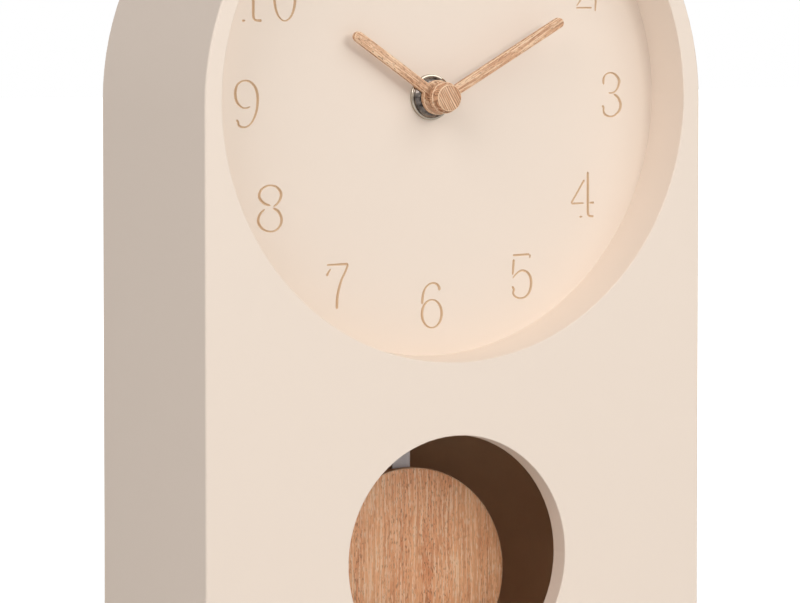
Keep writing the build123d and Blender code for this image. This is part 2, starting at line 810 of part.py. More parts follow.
# Stator: two arms from the coil's core to a ring round the rotor
with BuildPart() as stator:
    with BuildSketch(face_plane(stator_back)):
        for end in coil_ends:
            strip(end, rotor_place, stator_arm)
        with Locations(rotor_place):
            Circle(magnet_radius + stator_gap + stator_ring)
            Circle(magnet_radius + stator_gap, mode=Mode.SUBTRACT)
    extrude(amount=stator_thickness)

# Coil: its iron core, the bobbin on it and the winding
with BuildPart() as coil_core:
    with BuildSketch(face_plane(core_back)):
        strip(coil_ends[0], coil_ends[1], core_width)
    extrude(amount=stator_thickness)

with BuildPart() as coil_bobbin:
    upright_disc(-coil_offset, core_middle, bobbin_radius, bobbin_low, coil_low)
    upright_disc(-coil_offset, core_middle, bobbin_tube_radius, bobbin_low, bobbin_high)
    upright_disc(-coil_offset, core_middle, bobbin_radius, coil_high, bobbin_high)
    block(
        -coil_offset - core_width / 2 - core_gap,
        -coil_offset + core_width / 2 + core_gap,
        bobbin_low,
        bobbin_high,
        stator_back - core_gap,
        core_back + core_gap,
        mode=Mode.SUBTRACT,
    )

with BuildPart() as motor_coil:
    upright_disc(-coil_offset, core_middle, bobbin_radius - coil_inset, coil_low, coil_high)
    upright_disc(-coil_offset, core_middle, bobbin_tube_radius, coil_low, coil_high, Mode.SUBTRACT)

# Circuit board, with the quartz crystal's can and the chip under its drop of resin
with BuildPart() as circuit_board:
    block(board_left, board_right, -board_below, board_above, board_front, board_back)

with BuildPart() as quartz_crystal:
    upright_disc(board_middle, crystal_depth, crystal_radius, crystal_low, crystal_low + crystal_length)

with BuildPart() as control_chip:
    disc((board_middle, chip_height_place), chip_radius, board_back, board_back + chip_height)
    chamfer(control_chip.edges().group_by(Axis.Y)[-1], chip_edge)

# Battery and the two contacts at the ends of its bay
with BuildPart() as battery:
    cross_disc(bay_middle, cell_depth, cell_radius, -cell_length / 2, cell_length / 2 - cell_nub_length)
    chamfer(battery.edges().filter_by(GeomType.CIRCLE), cell_edge)
    cross_disc(bay_middle, cell_depth, cell_nub_radius, cell_length / 2 - cell_nub_length, cell_length / 2)

contacts = []
for side in (-1, 1):
    with BuildPart() as contact:
        plate = sorted((side * chamber_side, side * (chamber_side - contact_thickness)))
        bump = sorted((side * (chamber_side - contact_thickness), side * (cell_length / 2 + contact_gap)))
        block(
            *plate,
            bay_middle - contact_height / 2,
            bay_middle + contact_height / 2,
            cell_depth - contact_width / 2,
            cell_depth + contact_width / 2,
        )
        cross_disc(bay_middle, cell_depth, contact_bump, *bump)
    contacts.append(contact)
negative_contact, positive_contact = contacts

# Pendulum drive: the coil on its bobbin, fixed to the front plate
with BuildPart() as drive_bobbin:
    disc(drive_place, drive_bobbin_radius, train_front, train_front + drive_flange)
    disc(drive_place, drive_core_radius, train_front, drive_back)
    disc(drive_place, drive_bobbin_radius, drive_back - drive_flange, drive_back)

with BuildPart() as drive_coil:
    disc(drive_place, drive_bobbin_radius - coil_inset, train_front + drive_flange, drive_back - drive_flange)
    disc(drive_place, drive_core_radius, train_front + drive_flange, drive_back - drive_flange, Mode.SUBTRACT)

# Pivot pin: the axle that the pendulum's hanger swings on
with BuildPart() as pivot_pin:
    disc(pivot_place, pivot_radius, pin_front, pin_back)

# Pendulum hanger: the eye on the pin, the magnet's pad and the peg that holds the rod
with BuildPart() as pendulum_hanger:
    disc(pivot_place, eye_radius, eye_front, hanger_back)
    with BuildSketch(face_plane(hanger_back)):
        strip(pivot_place, hook_place, hanger_width)
        with Locations(drive_place):
            Circle(drive_pad_radius)
    extrude(amount=hanger_thickness)
    disc(hook_place, hook_radius, hanger_front - hook_reach, hanger_back)
    disc(pivot_place, pivot_radius + running_gap, eye_front, hanger_back, Mode.SUBTRACT)

# Drive magnet: glued to the hanger's pad, it passes over the coil
with BuildPart() as drive_magnet:
    disc(drive_place, drive_magnet_radius, hanger_front - drive_magnet_length, hanger_front)

# Pendulum rod: a flat metal strip hooked on the hanger's peg
with BuildPart() as pendulum_rod:
    block(-rod_width / 2, rod_width / 2, -rod_foot_drop, -movement_below - rod_top_gap, rod_front, rod_back)
    disc(hook_place, hook_radius + hook_gap, rod_front, rod_back, Mode.SUBTRACT)

# Bob: a round wooden disc on a plastic backing, whose clip slides on the rod
with BuildPart() as pendulum_bob:
    disc(bob_place, bob_radius, bob_front, bob_back)
    chamfer(pendulum_bob.edges().filter_by(GeomType.CIRCLE), bob_edge)

with BuildPart() as bob_backing:
    disc(bob_place, bob_radius - backing_inset, bob_back, backing_back)
    block(
        -clip_width / 2,
        clip_width / 2,
        -bob_drop - clip_length / 2,
        -bob_drop + clip_length / 2,
        backing_back,
        rod_back + clip_gap + clip_bridge,
    )
    block(
        -rod_width / 2 - clip_gap,
        rod_width / 2 + clip_gap,
        -bob_drop - clip_length / 2,
        -bob_drop + clip_length / 2,
        rod_front - clip_gap,
        rod_back + clip_gap,
        mode=Mode.SUBTRACT,
    )

pieces = {
    "front_shell": front_shell,
    "dial": dial,
    "back_cover": back_cover,
    "cover_screws": cover_screws,
    "rubber_feet": rubber_feet,
    "movement_front_plate": movement_front_plate,
    "movement_rear_case": movement_rear_case,
    "middle_plate": middle_plate,
    "fixing_bush": fixing_bush,
    "rubber_washer": rubber_washer,
    "dial_nut": dial_nut,
    "hour_hand": hour_hand,
    "minute_hand": minute_hand,
    "hand_cap": hand_cap,
    "minute_arbor": minute_arbor,
    "hour_wheel": hour_wheel,
    "minute_wheel": minute_wheel,
    "setting_knob": setting_knob,
    "centre_wheel": centre_wheel,
    "third_wheel": third_wheel,
    "second_wheel": second_wheel,
    "intermediate_wheel": intermediate_wheel,
    "rotor_pinion": rotor_pinion,
    "rotor_magnet": rotor_magnet,
    "stator": stator,
    "coil_core": coil_core,
    "coil_bobbin": coil_bobbin,
    "motor_coil": motor_coil,
    "circuit_board": circuit_board,
    "quartz_crystal": quartz_crystal,
    "control_chip": control_chip,
    "battery": battery,
    "negative_contact": negative_contact,
    "positive_contact": positive_contact,
    "drive_bobbin": drive_bobbin,
    "drive_coil": drive_coil,
    "pivot_pin": pivot_pin,
    "pendulum_hanger": pendulum_hanger,
    "drive_magnet": drive_magnet,
    "pendulum_rod": pendulum_rod,
    "pendulum_bob": pendulum_bob,
    "bob_backing": bob_backing,
}

os.makedirs("parts", exist_ok=True)
for piece_name, piece in pieces.items():
    piece.part.label = piece_name
    export_step(piece.part, f"parts/{piece_name}.step")
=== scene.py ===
import math

import bmesh
import bpy
import numpy as np
from bpy.props import FloatProperty, FloatVectorProperty, IntProperty, PointerProperty
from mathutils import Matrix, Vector


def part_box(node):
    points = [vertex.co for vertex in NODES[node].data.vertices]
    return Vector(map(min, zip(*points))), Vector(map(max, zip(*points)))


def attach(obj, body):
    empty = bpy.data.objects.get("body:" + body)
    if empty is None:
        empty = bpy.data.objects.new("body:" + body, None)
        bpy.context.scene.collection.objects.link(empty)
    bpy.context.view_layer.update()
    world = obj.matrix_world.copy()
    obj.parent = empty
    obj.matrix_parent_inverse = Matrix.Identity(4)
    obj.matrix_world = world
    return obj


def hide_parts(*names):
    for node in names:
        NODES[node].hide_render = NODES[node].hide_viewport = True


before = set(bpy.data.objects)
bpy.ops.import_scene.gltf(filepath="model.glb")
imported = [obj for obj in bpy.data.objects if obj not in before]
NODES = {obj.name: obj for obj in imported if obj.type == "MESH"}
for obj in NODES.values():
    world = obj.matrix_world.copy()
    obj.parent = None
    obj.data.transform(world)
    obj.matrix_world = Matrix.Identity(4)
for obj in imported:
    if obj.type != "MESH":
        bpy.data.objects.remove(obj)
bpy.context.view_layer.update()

# A desk clock with a pendulum, dressed over its packed frame. Metres throughout, in the frame's
# own axes: X across the clock, Y from the dial to the back, Z up. Each operator makes one piece
# or one group of pieces.

bl_info = {
    "name": "Desk pendulum clock",
    "version": (1, 0, 0),
    "blender": (4, 5, 0),
    "location": "3D View > Sidebar > Clock",
    "description": "Builds the finished surfaces of a desk clock with a pendulum",
    "category": "Object",
}

DIAL_LOW, DIAL_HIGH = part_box("dial")
DIAL_MIDDLE = (DIAL_LOW + DIAL_HIGH) / 2
DIAL_FACE = DIAL_LOW.y
DIAL_RADIUS = (DIAL_HIGH.x - DIAL_LOW.x) / 2
NUT_LOW, NUT_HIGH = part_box("dial_nut")
CAP_LOW, CAP_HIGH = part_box("hand_cap")
BOB_LOW, BOB_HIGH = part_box("pendulum_bob")

# The radii of the bores, and how deep the arbor's tip goes into the cap.
BUSH_HOLE = 0.0041
NUT_BORE = 0.00395
HOUR_BORE = 0.0024
MINUTE_BORE = 0.0014
CAP_DEPTH = 0.0012

# Settings


def number(name, text, default, least=0.0, **kinds):
    """A number setting, from a least value up."""
    return FloatProperty(name=name, description=text, default=default, min=least, **kinds)


def length(name, text, default):
    """A length setting in metres."""
    return number(name, text, default, unit="LENGTH", subtype="DISTANCE")


def power(name, text, default):
    """A lamp's power in watts."""
    return number(name, text, default, unit="POWER", subtype="POWER")


def angle(name, text, degrees):
    """An angle setting, given here in degrees."""
    return FloatProperty(
        name=name, description=text, default=math.radians(degrees), unit="ROTATION",
        subtype="ANGLE",
    )


def colour(name, text, default):
    """A colour setting: red, green and blue as they are seen on the screen, from 0 to 1."""
    return FloatVectorProperty(
        name=name, description=text, default=default, subtype="COLOR_GAMMA", min=0, max=1
    )


def point(name, text, default):
    """A place in the frame, in metres."""
    return FloatVectorProperty(
        name=name, description=text, default=default, unit="LENGTH", subtype="TRANSLATION"
    )


class CaseSettings(bpy.types.PropertyGroup):
    """Finish of the moulded case and of what closes it."""

    cream: colour("Case colour", "Colour of the moulded case and the dial", (0.925, 0.863, 0.800))
    cream_roughness: number(
        "Case roughness", "How dull the moulding is", 0.55, max=1.0, subtype="FACTOR"
    )
    mould_grain: length("Mould grain", "Size of the fine grain on the moulding", 0.0004)
    cover_colour: colour("Back cover colour", "Colour of the back cover", (0.90, 0.725, 0.565))


class DialSettings(bpy.types.PropertyGroup):
    """The engraved numerals."""

    numeral_radius: length("Numeral radius", "From the dial's middle to each numeral's", 0.056)
    numeral_height: length("Numeral height", "Height of a figure", 0.0126)
    figure_spacing: length("Figure spacing", "Between the middles of two figures", 0.0080)
    stroke_width: length("Stroke width", "Width of the widest engraved stroke", 0.00082)
    stroke_depth: length("Stroke depth", "Depth of the widest engraved stroke", 0.00048)
    groove_colour: colour("Groove colour", "Colour in the strokes", (0.85, 0.735, 0.605))
    samples: IntProperty(
        name="Samples", description="Steps along one stroke", default=44, min=8, max=200
    )


class HandSettings(bpy.types.PropertyGroup):
    """The outlines of the hands."""

    hour_angle: angle("Hour angle", "Clockwise from twelve", 304.2)
    hour_reach: length("Hour reach", "From the axis to the hour hand's tip", 0.0304)
    hour_hub: length("Hour hub", "Radius of the hour hand's hub", 0.0046)
    minute_angle: angle("Minute angle", "Clockwise from twelve", 60.7)
    minute_reach: length("Minute reach", "From the axis to the minute hand's tip", 0.0415)
    minute_hub: length("Minute hub", "Radius of the minute hand's hub", 0.0042)
    width: length("Width", "Width of both hands", 0.0028)
    edge: length("Edge radius", "Rounding of the hands' edges", 0.00022)


class WoodSettings(bpy.types.PropertyGroup):
    """The oak of the hands, their cap and the bob."""

    hour_light: colour("Light wood, hour hand and cap", "The light grain", (0.90, 0.74, 0.60))
    hour_dark: colour("Dark wood, hour hand and cap", "The dark grain", (0.78, 0.57, 0.41))
    minute_light: colour("Light wood, minute hand", "The light grain", (0.865, 0.68, 0.53))
    minute_dark: colour("Dark wood, minute hand", "The dark grain", (0.72, 0.51, 0.36))
    bob_light: colour("Light wood, bob", "The light grain", (0.955, 0.715, 0.525))
    bob_dark: colour("Dark wood, bob", "The dark grain", (0.85, 0.55, 0.36))
    pore: colour("Pore colour", "Colour of the open pores", (0.46, 0.26, 0.15))
    # The fleck colour also paints the highlight on the wood's edges.
    fleck: colour("Fleck colour", "Colour of pale flecks and of the painted edge highlight", (0.98, 0.86, 0.72))
    bob_edge: length("Bob edge", "Rounding of the bob's edges", 0.0004)


class StageSettings(bpy.types.PropertyGroup):
    """Camera, lamps and floor."""

    camera_place: point("Camera place", "Where the camera stands", (-0.68610, -1.24919, 0.21334))
    camera_aim: point("Camera aim", "The middle of the view", (-0.01767, -0.0305, 0.12272))
    lens: number(
        "Lens", "Focal length on a 36 mm sensor", 237.83, 10.0, unit="CAMERA",
        subtype="DISTANCE_CAMERA",
    )
    key_power: power("Key power", "Power of the small key lamp", 7.2)
    soft_power: power("Soft power", "Power of the wide lamp at the right", 18.8)
    left_power: power("Left power", "Power of the wide lamp at the left", 13.4)
    sky_strength: number("Sky strength", "Strength of the even light", 0.26)


def linear(seen):
    """A colour as it is seen on the screen, turned into the linear values that shaders take."""
    value = np.asarray(seen, float)
    low = value / 12.92
    high = ((value + 0.055) / 1.055) ** 2.4
    return tuple(float(v) for v in np.where(value <= 0.04045, low, high)) + (1.0,)


# Nodes: a value below is a plain one or another node's output socket.


def feed(entry, value):
    """Joins an input socket to an output socket, or sets it to a plain value."""
    if isinstance(value, bpy.types.NodeSocket):
        entry.id_data.links.new(value, entry)
    else:
        entry.default_value = value


def add_node(tree, kind, entries, **settings):
    """A new shader node with its own settings, and the values of its inputs by name or number."""
    node = tree.nodes.new("ShaderNode" + kind)
    for name, value in settings.items():
        setattr(node, name, value)
    for name, value in entries.items():
        feed(node.inputs[name], value)
    return node


def maths(tree, operation, *values):
    """The result of a Math node."""
    return add_node(tree, "Math", dict(enumerate(values)), operation=operation).outputs[0]


def vector_maths(tree, operation, *values):
    """The vector that a Vector Math node gives."""
    return add_node(tree, "VectorMath", dict(enumerate(values)), operation=operation).outputs[0]


def distance(tree, vector):
    """The length of a vector."""
    return add_node(tree, "VectorMath", {0: vector}, operation="LENGTH").outputs["Value"]


def ramp(tree, value, low, high, start=0.0, stop=1.0):
    """Maps a value from low..high to start..stop, held at both ends."""
    entries = {"Value": value, "From Min": low, "From Max": high, "To Min": start, "To Max": stop}
    return add_node(tree, "MapRange", entries, clamp=True).outputs[0]


def noise(tree, vector, scale, detail=2.0, roughness=0.5):
    """The value of a noise texture on a vector."""
    entries = {"Vector": vector, "Scale": scale, "Detail": detail, "Roughness": roughness}
    return add_node(tree, "TexNoise", entries).outputs[0]


def waves(tree, vector, scale, distortion, way):
    """The value of a wave texture whose bands follow each other one way, such as X."""
    entries = {"Vector": vector, "Scale": scale, "Distortion": distortion}
    return add_node(tree, "TexWave", entries, bands_direction=way).outputs["Fac"]


def mix(tree, factor, first, second):
    """A mix of two colours."""
    return add_node(tree, "Mix", {0: factor, 6: first, 7: second}, data_type="RGBA").outputs[2]


def lit(tree, seen, gain):
    """A colour made lighter or darker by a gain."""
    return add_node(tree, "HueSaturation", {"Color": seen, "Value": gain}).outputs["Color"]


# Node groups: the effects that several materials share.

NUMBER, VECTOR, COLOUR = "NodeSocketFloat", "NodeSocketVector", "NodeSocketColor"


def new_group(name, inputs, outputs):
    """An empty node group: its tree, and its inputs and outputs as the nodes inside see them.

    Inputs and outputs are named with their kind of socket, and an input that is a number with
    its default.
    """
    tree = bpy.data.node_groups.new(name, "ShaderNodeTree")
    for label, kind in inputs.items():
        plain = isinstance(kind, float)
        socket = tree.interface.new_socket(
            label, in_out="INPUT", socket_type=NUMBER if plain else kind
        )
        if plain:
            socket.default_value = kind
    for label, kind in outputs.items():
        tree.interface.new_socket(label, in_out="OUTPUT", socket_type=kind)
    given, result = (tree.nodes.new("NodeGroup" + end) for end in ("Input", "Output"))
    return tree, given.outputs, result.inputs


def colour_drift_group(name):
    """Makes a colour lighter and darker in soft patches: value x (1 + amount x (2 x noise - 1))."""
    tree, given, result = new_group(
        name, {"Colour": COLOUR, "Vector": VECTOR, "Scale": 20.0, "Amount": 0.03},
        {"Colour": COLOUR},
    )
    patches = noise(tree, given["Vector"], given["Scale"], 3.0)
    swing = maths(tree, "MULTIPLY_ADD", patches, 2.0, -1.0)
    gain = maths(tree, "ADD", maths(tree, "MULTIPLY", swing, given["Amount"]), 1.0)
    feed(result["Colour"], lit(tree, given["Colour"], gain))
    return tree


def surface_grain_group(name):
    """The fine pebbled grain of a moulding: two sizes of noise, as a height and a mask of the
    small hollows.
    """
    tree, given, result = new_group(
        name, {"Vector": VECTOR, "Scale": 2000.0}, {"Height": NUMBER, "Hollows": NUMBER}
    )
    fine = noise(tree, given["Vector"], given["Scale"])
    wide = noise(tree, given["Vector"], maths(tree, "MULTIPLY", given["Scale"], 0.17))
    both = maths(tree, "ADD", fine, wide)
    feed(result["Height"], maths(tree, "MULTIPLY", both, 0.5))
    feed(result["Hollows"], ramp(tree, fine, 0.52, 0.40))
    return tree


def oak_group(name):
    """Straight-grained oak whose grain runs along the vector's Z.

    The vector is bent a little by a slow noise and then drawn out along Z, so that every pattern
    on it makes marks that lie along the grain. Wide bands and narrow streaks mix the light and
    the dark wood. Pale lines and flecks, dark lines, the growth rings' lines and short dark pores
    lie on top, and the pores crowd where the bands are dark. Coarseness widens the marks.
    """
    tree, given, result = new_group(
        name,
        {
            "Vector": VECTOR, "Light": COLOUR, "Dark": COLOUR, "Pore": COLOUR, "Fleck": COLOUR,
            "Pale lines": 0.4, "Dark lines": 0.2, "Growth lines": 0.0, "Dashes": 0.6,
            "Coarseness": 1.0,
        },
        {"Colour": COLOUR, "Pores": NUMBER, "Height": NUMBER},
    )
    wobble = noise(tree, given["Vector"], 55.0).node.outputs["Color"]
    bend = (0.0012, 0.0012, 0.0)
    bent = vector_maths(tree, "MULTIPLY_ADD", wobble, bend, given["Vector"])

    def along(stretch):
        """The vector with its Z pressed together, which draws a pattern out along the grain."""
        return vector_maths(tree, "MULTIPLY", bent, (1.0, 1.0, stretch))

    def at(scale):
        """A scale that follows the group's coarseness."""
        return maths(tree, "DIVIDE", scale, given["Coarseness"])

    def part(mask, entry):
        """A mask times the share that an input gives it."""
        return maths(tree, "MULTIPLY", mask, given[entry])

    bands = noise(tree, along(0.06), 190.0)
    streaks = noise(tree, along(0.04), at(1900.0), 3.0, 0.65)
    lines = noise(tree, along(0.035), at(2000.0))
    flecks = noise(tree, along(0.14), at(3300.0), 1.0)
    dashes = noise(tree, along(0.24), at(3200.0), 1.0)
    fibres = noise(tree, along(0.05), 6500.0)
    rings = waves(tree, along(0.08), 520.0, 5.0, "X")

    wood = maths(tree, "MULTIPLY_ADD", streaks, 0.6, maths(tree, "MULTIPLY", bands, 0.4))
    body = mix(tree, ramp(tree, wood, 0.38, 0.62), given["Dark"], given["Light"])
    pale = maths(tree, "MAXIMUM", ramp(tree, lines, 0.555, 0.61), ramp(tree, flecks, 0.56, 0.68))
    flecked = mix(tree, part(pale, "Pale lines"), body, given["Fleck"])
    fibred = lit(tree, flecked, ramp(tree, fibres, 0.25, 0.75, 0.93, 1.06))
    dark_wood = ramp(tree, bands, 0.66, 0.36, 0.35, 1.0)
    pores = maths(tree, "MULTIPLY", ramp(tree, dashes, 0.58, 0.64), dark_wood)
    growth_lines = part(ramp(tree, rings, 0.36, 0.08), "Growth lines")
    dark_lines = part(ramp(tree, lines, 0.46, 0.38), "Dark lines")
    drawn = maths(tree, "MAXIMUM", growth_lines, dark_lines)
    dark = maths(tree, "MAXIMUM", part(pores, "Dashes"), drawn)
    feed(result["Colour"], mix(tree, dark, fibred, given["Pore"]))
    feed(result["Pores"], pores)
    feed(result["Height"], maths(tree, "MULTIPLY_ADD", dark, -1.0, fibres))
    return tree


def worn_edge_group(name):
    """How far a face leans from the front or the back, as a mask: 1 on an edge at 45 degrees and
    0 on flat faces. Oak uses it to place a painted highlight on its edges.
    """
    tree, given, result = new_group(name, {"Vector": VECTOR}, {"Mask": NUMBER})
    across = add_node(tree, "SeparateXYZ", {"Vector": given["Vector"]}).outputs["Y"]
    lean = maths(tree, "ABSOLUTE", across)
    rise, fall = ramp(tree, lean, 0.10, 0.45), ramp(tree, lean, 0.97, 0.80)
    feed(result["Mask"], maths(tree, "MULTIPLY", rise, fall))
    return tree


GROUPS = {
    "Colour drift": colour_drift_group,
    "Surface grain": surface_grain_group,
    "Oak figure": oak_group,
    "Worn edge": worn_edge_group,
}


def use_group(tree, name, vector, **values):
    """The outputs of a shared effect on a vector, with its own values. It is built once."""
    node = tree.nodes.new("ShaderNodeGroup")
    node.node_tree = bpy.data.node_groups.get(name) or GROUPS[name](name)
    feed(node.inputs["Vector"], vector)
    for entry, value in values.items():
        feed(node.inputs[entry.replace("_", " ")], value)
    return node.outputs


# Materials


def new_material(name):
    """A material: itself, its tree, its Principled shader's inputs and the coordinates."""
    material = bpy.data.materials.new(name)
    material.use_nodes = True
    tree = material.node_tree
    place = tree.nodes.new("ShaderNodeTexCoord")
    return material, tree, tree.nodes["Principled BSDF"].inputs, place.outputs


def paint(tree, shader, place, seen, scale, amount):
    """Gives the shader a colour that drifts by an amount in soft patches."""
    drift = use_group(
        tree, "Colour drift", place["Object"], Colour=linear(seen), Scale=scale, Amount=amount
    )
    feed(shader["Base Color"], drift["Colour"])


def add_bump(tree, shader, height, depth, strength=1.0):
    """Lets a height of that depth in metres turn the shader's normal."""
    entries = {"Height": height, "Distance": depth, "Strength": strength}
    feed(shader["Normal"], add_node(tree, "Bump", entries).outputs["Normal"])


def moulded(name, seen, roughness=0.5, grain=0.0004, depth=0.00001, drift=0.02, drift_scale=18.0):
    """A moulded or painted surface: a soft colour drift, and a fine grain in the relief and in
    the roughness, which is up to 0.08 more in the grain's hollows.
    """
    material, tree, shader, place = new_material(name)
    paint(tree, shader, place, seen, drift_scale, drift)
    pebbles = use_group(tree, "Surface grain", place["Object"], Scale=1.0 / grain)
    dull = ramp(tree, pebbles["Hollows"], 0.0, 1.0, roughness, min(1.0, roughness + 0.08))
    feed(shader["Roughness"], dull)
    add_bump(tree, shader, pebbles["Height"], depth)
    return material


def case_plastic(name, settings):
    """The cream moulding of the case and the dial."""
    return moulded(
        name, settings.cream, settings.cream_roughness, settings.mould_grain, depth=0.000006,
        drift=0.012, drift_scale=9.0,
    )


def brushed(name, seen, roughness=0.32, stretch=(1.0, 1.0, 0.03), scale=2600.0, depth=0.000004):
    """A drawn or brushed metal: fine lines drawn out along one way, in the relief and in the
    roughness, which they change by 0.08 down and 0.10 up.
    """
    material, tree, shader, place = new_material(name)
    paint(tree, shader, place, seen, scale=120.0, amount=0.05)
    entries = {"Vector": place["Object"], "Scale": stretch}
    lines = add_node(tree, "Mapping", entries).outputs["Vector"]
    scratches = noise(tree, lines, scale, 3.0, 0.6)
    dull = ramp(tree, scratches, 0.3, 0.7, roughness - 0.08, roughness + 0.10)
    feed(shader["Roughness"], dull)
    feed(shader["Metallic"], 1.0)
    add_bump(tree, shader, scratches, depth)
    return material


def wound(name, seen, way, pitch=0.00022):
    """Enamelled wire wound in close turns: each turn is one wave of the relief.

    The wave texture is sin(20 x scale x place), so its scale is 2 pi / (20 x pitch).
    """
    material, tree, shader, place = new_material(name)
    paint(tree, shader, place, seen, scale=400.0, amount=0.08)
    turns = waves(tree, place["Object"], 2 * math.pi / (20 * pitch), 0.6, way)
    feed(shader["Metallic"], 0.8)
    feed(shader["Roughness"], 0.35)
    add_bump(tree, shader, turns, 0.00006)
    return material


def oak(name, light, dark, wood, middle, turn, painted_highlight=0.55, **figure_values):
    """Oak with its grain along Z, turned about Y and centred on a point by a Mapping node, and
    paler on its edges, where a highlight is painted. The figure's own values are those of the
    oak group.
    """
    material, tree, shader, place = new_material(name)
    entries = {"Vector": place["Object"], "Location": middle, "Rotation": (0.0, turn, 0.0)}
    grain = add_node(tree, "Mapping", entries, vector_type="TEXTURE").outputs["Vector"]
    figure = use_group(
        tree, "Oak figure", grain, Light=linear(light), Dark=linear(dark),
        Pore=linear(wood.pore), Fleck=linear(wood.fleck), **figure_values,
    )
    # Edges that lean about 45 degrees get a painted highlight: their colour is mixed towards the
    # fleck colour.
    highlit_edge = use_group(tree, "Worn edge", place["Normal"])
    paler = maths(tree, "MULTIPLY", highlit_edge["Mask"], painted_highlight)
    feed(shader["Base Color"], mix(tree, paler, figure["Colour"], linear(wood.fleck)))
    feed(shader["Roughness"], ramp(tree, figure["Pores"], 0.0, 1.0, 0.5, 0.85))
    add_bump(tree, shader, figure["Height"], 0.00006, 0.7)
    return material


def dress(material, *nodes):
    """Gives frame nodes a material in place of their own."""
    for name in nodes:
        mesh = NODES[name].data
        mesh.materials.clear()
        mesh.materials.append(material)


# Surfaces: a surface is its corners and a list of arrays of faces.


def add_object(name, data):
    """A new object in the scene."""
    made = bpy.data.objects.new(name, data)
    bpy.context.scene.collection.objects.link(made)
    return made


def surface_object(name, surface, material):
    """An object at the origin from a surface."""
    corners, faces = surface
    mesh = bpy.data.meshes.new(name)
    mesh.from_pydata(corners.tolist(), [], [face for part in faces for face in part.tolist()])
    mesh.materials.append(material)
    return add_object(name, mesh)


def fix_normals(mesh):
    """Turns every face of a closed mesh outwards."""
    work = bmesh.new()
    work.from_mesh(mesh)
    bmesh.ops.recalc_face_normals(work, faces=work.faces)
    work.to_mesh(mesh)
    work.free()


def piece(name, surface, material, body, node, smooth_angle=35.0):
    """A closed piece in place of a node, riding on a body, and smooth where its faces meet at
    less than an angle.
    """
    made = surface_object(name, surface, material)
    mesh = made.data
    mesh.validate()
    mesh.set_sharp_from_angle(angle=math.radians(smooth_angle))
    mesh.polygons.foreach_set("use_smooth", np.ones(len(mesh.polygons), bool))
    fix_normals(mesh)
    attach(made, body)
    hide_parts(node)
    return made


def grid_faces(rows, columns, close_rows=False, close_columns=False):
    """The quads of a grid of rows x columns points, joined up where it closes on itself."""
    row = np.arange(rows if close_rows else rows - 1)
    column = np.arange(columns if close_columns else columns - 1)
    row, column = (a.ravel() for a in np.meshgrid(row, column, indexing="ij"))
    row_start, next_start = row * columns, (row + 1) % rows * columns
    after = (column + 1) % columns
    return np.stack(
        [row_start + column, row_start + after, next_start + after, next_start + column], axis=1
    )


def swept(profile, middle, steps):
    """A profile (r, y) carried round the clock's Y axis through a middle, as points [t, p].

    point(t, p) = (middle.x + r(p) cos t, y(p), middle.z + r(p) sin t)
    """
    turn = np.linspace(0, 2 * np.pi, steps, endpoint=False)
    x = middle[0] + np.outer(np.cos(turn), profile[:, 0])
    z = middle[2] + np.outer(np.sin(turn), profile[:, 0])
    return np.stack([x, np.broadcast_to(profile[:, 1], x.shape), z], axis=-1)


def turned(profile, middle, steps):
    """A turned ring: a closed profile swept round."""
    corners = swept(profile, middle, steps).reshape(-1, 3)
    return corners, [grid_faces(steps, len(profile), True, True)]


def turned_solid(profile, middle, steps):
    """A turned surface with no hole: an open profile from pole to pole swept round, with one
    point at each pole and a fan of triangles about it.
    """
    rings = profile[1:-1]
    corners = swept(rings, middle, steps).swapaxes(0, 1).reshape(-1, 3)
    poles = np.array([[middle[0], profile[end, 1], middle[2]] for end in (0, -1)])
    step = np.arange(steps)
    after = (step + 1) % steps
    base = (len(rings) - 1) * steps
    first, last = (np.full(steps, len(corners) + end) for end in (0, 1))
    faces = [
        grid_faces(len(rings), steps, False, True),
        np.stack([first, after, step], 1),
        np.stack([last, base + step, base + after], 1),
    ]
    return np.concatenate([corners, poles]), faces


def round_edge(radius, face, edge, way):
    """A quarter round from a face to the side of a disc, as a profile.

    r(b) = radius - edge + edge sin b, y(b) = face + way (edge - edge cos b), b from 0 to 90
    degrees, and way 1 at the front or -1 at the back.
    """
    bend = np.linspace(0, np.pi / 2, 6)
    return np.stack(
        [radius - edge + edge * np.sin(bend), face + way * (edge - edge * np.cos(bend))], axis=1
    )


# Numerals: each figure is a set of strokes through points (x, y, width), with x and y in figure
# heights from the figure's middle and the width as a share of the widest stroke. A stroke that
# closes on itself is an array, as oval gives it, and an open one is a list.


def oval(across, up, wide, high, count=24):
    """A closed stroke round an ellipse, thin at its top and bottom and wide at its sides."""
    turn = np.linspace(0, 2 * np.pi, count, endpoint=False)
    width = 0.5 + 0.5 * np.abs(np.cos(turn)) ** 1.6
    return np.stack([across + wide * np.cos(turn), up + high * np.sin(turn), width], axis=1)


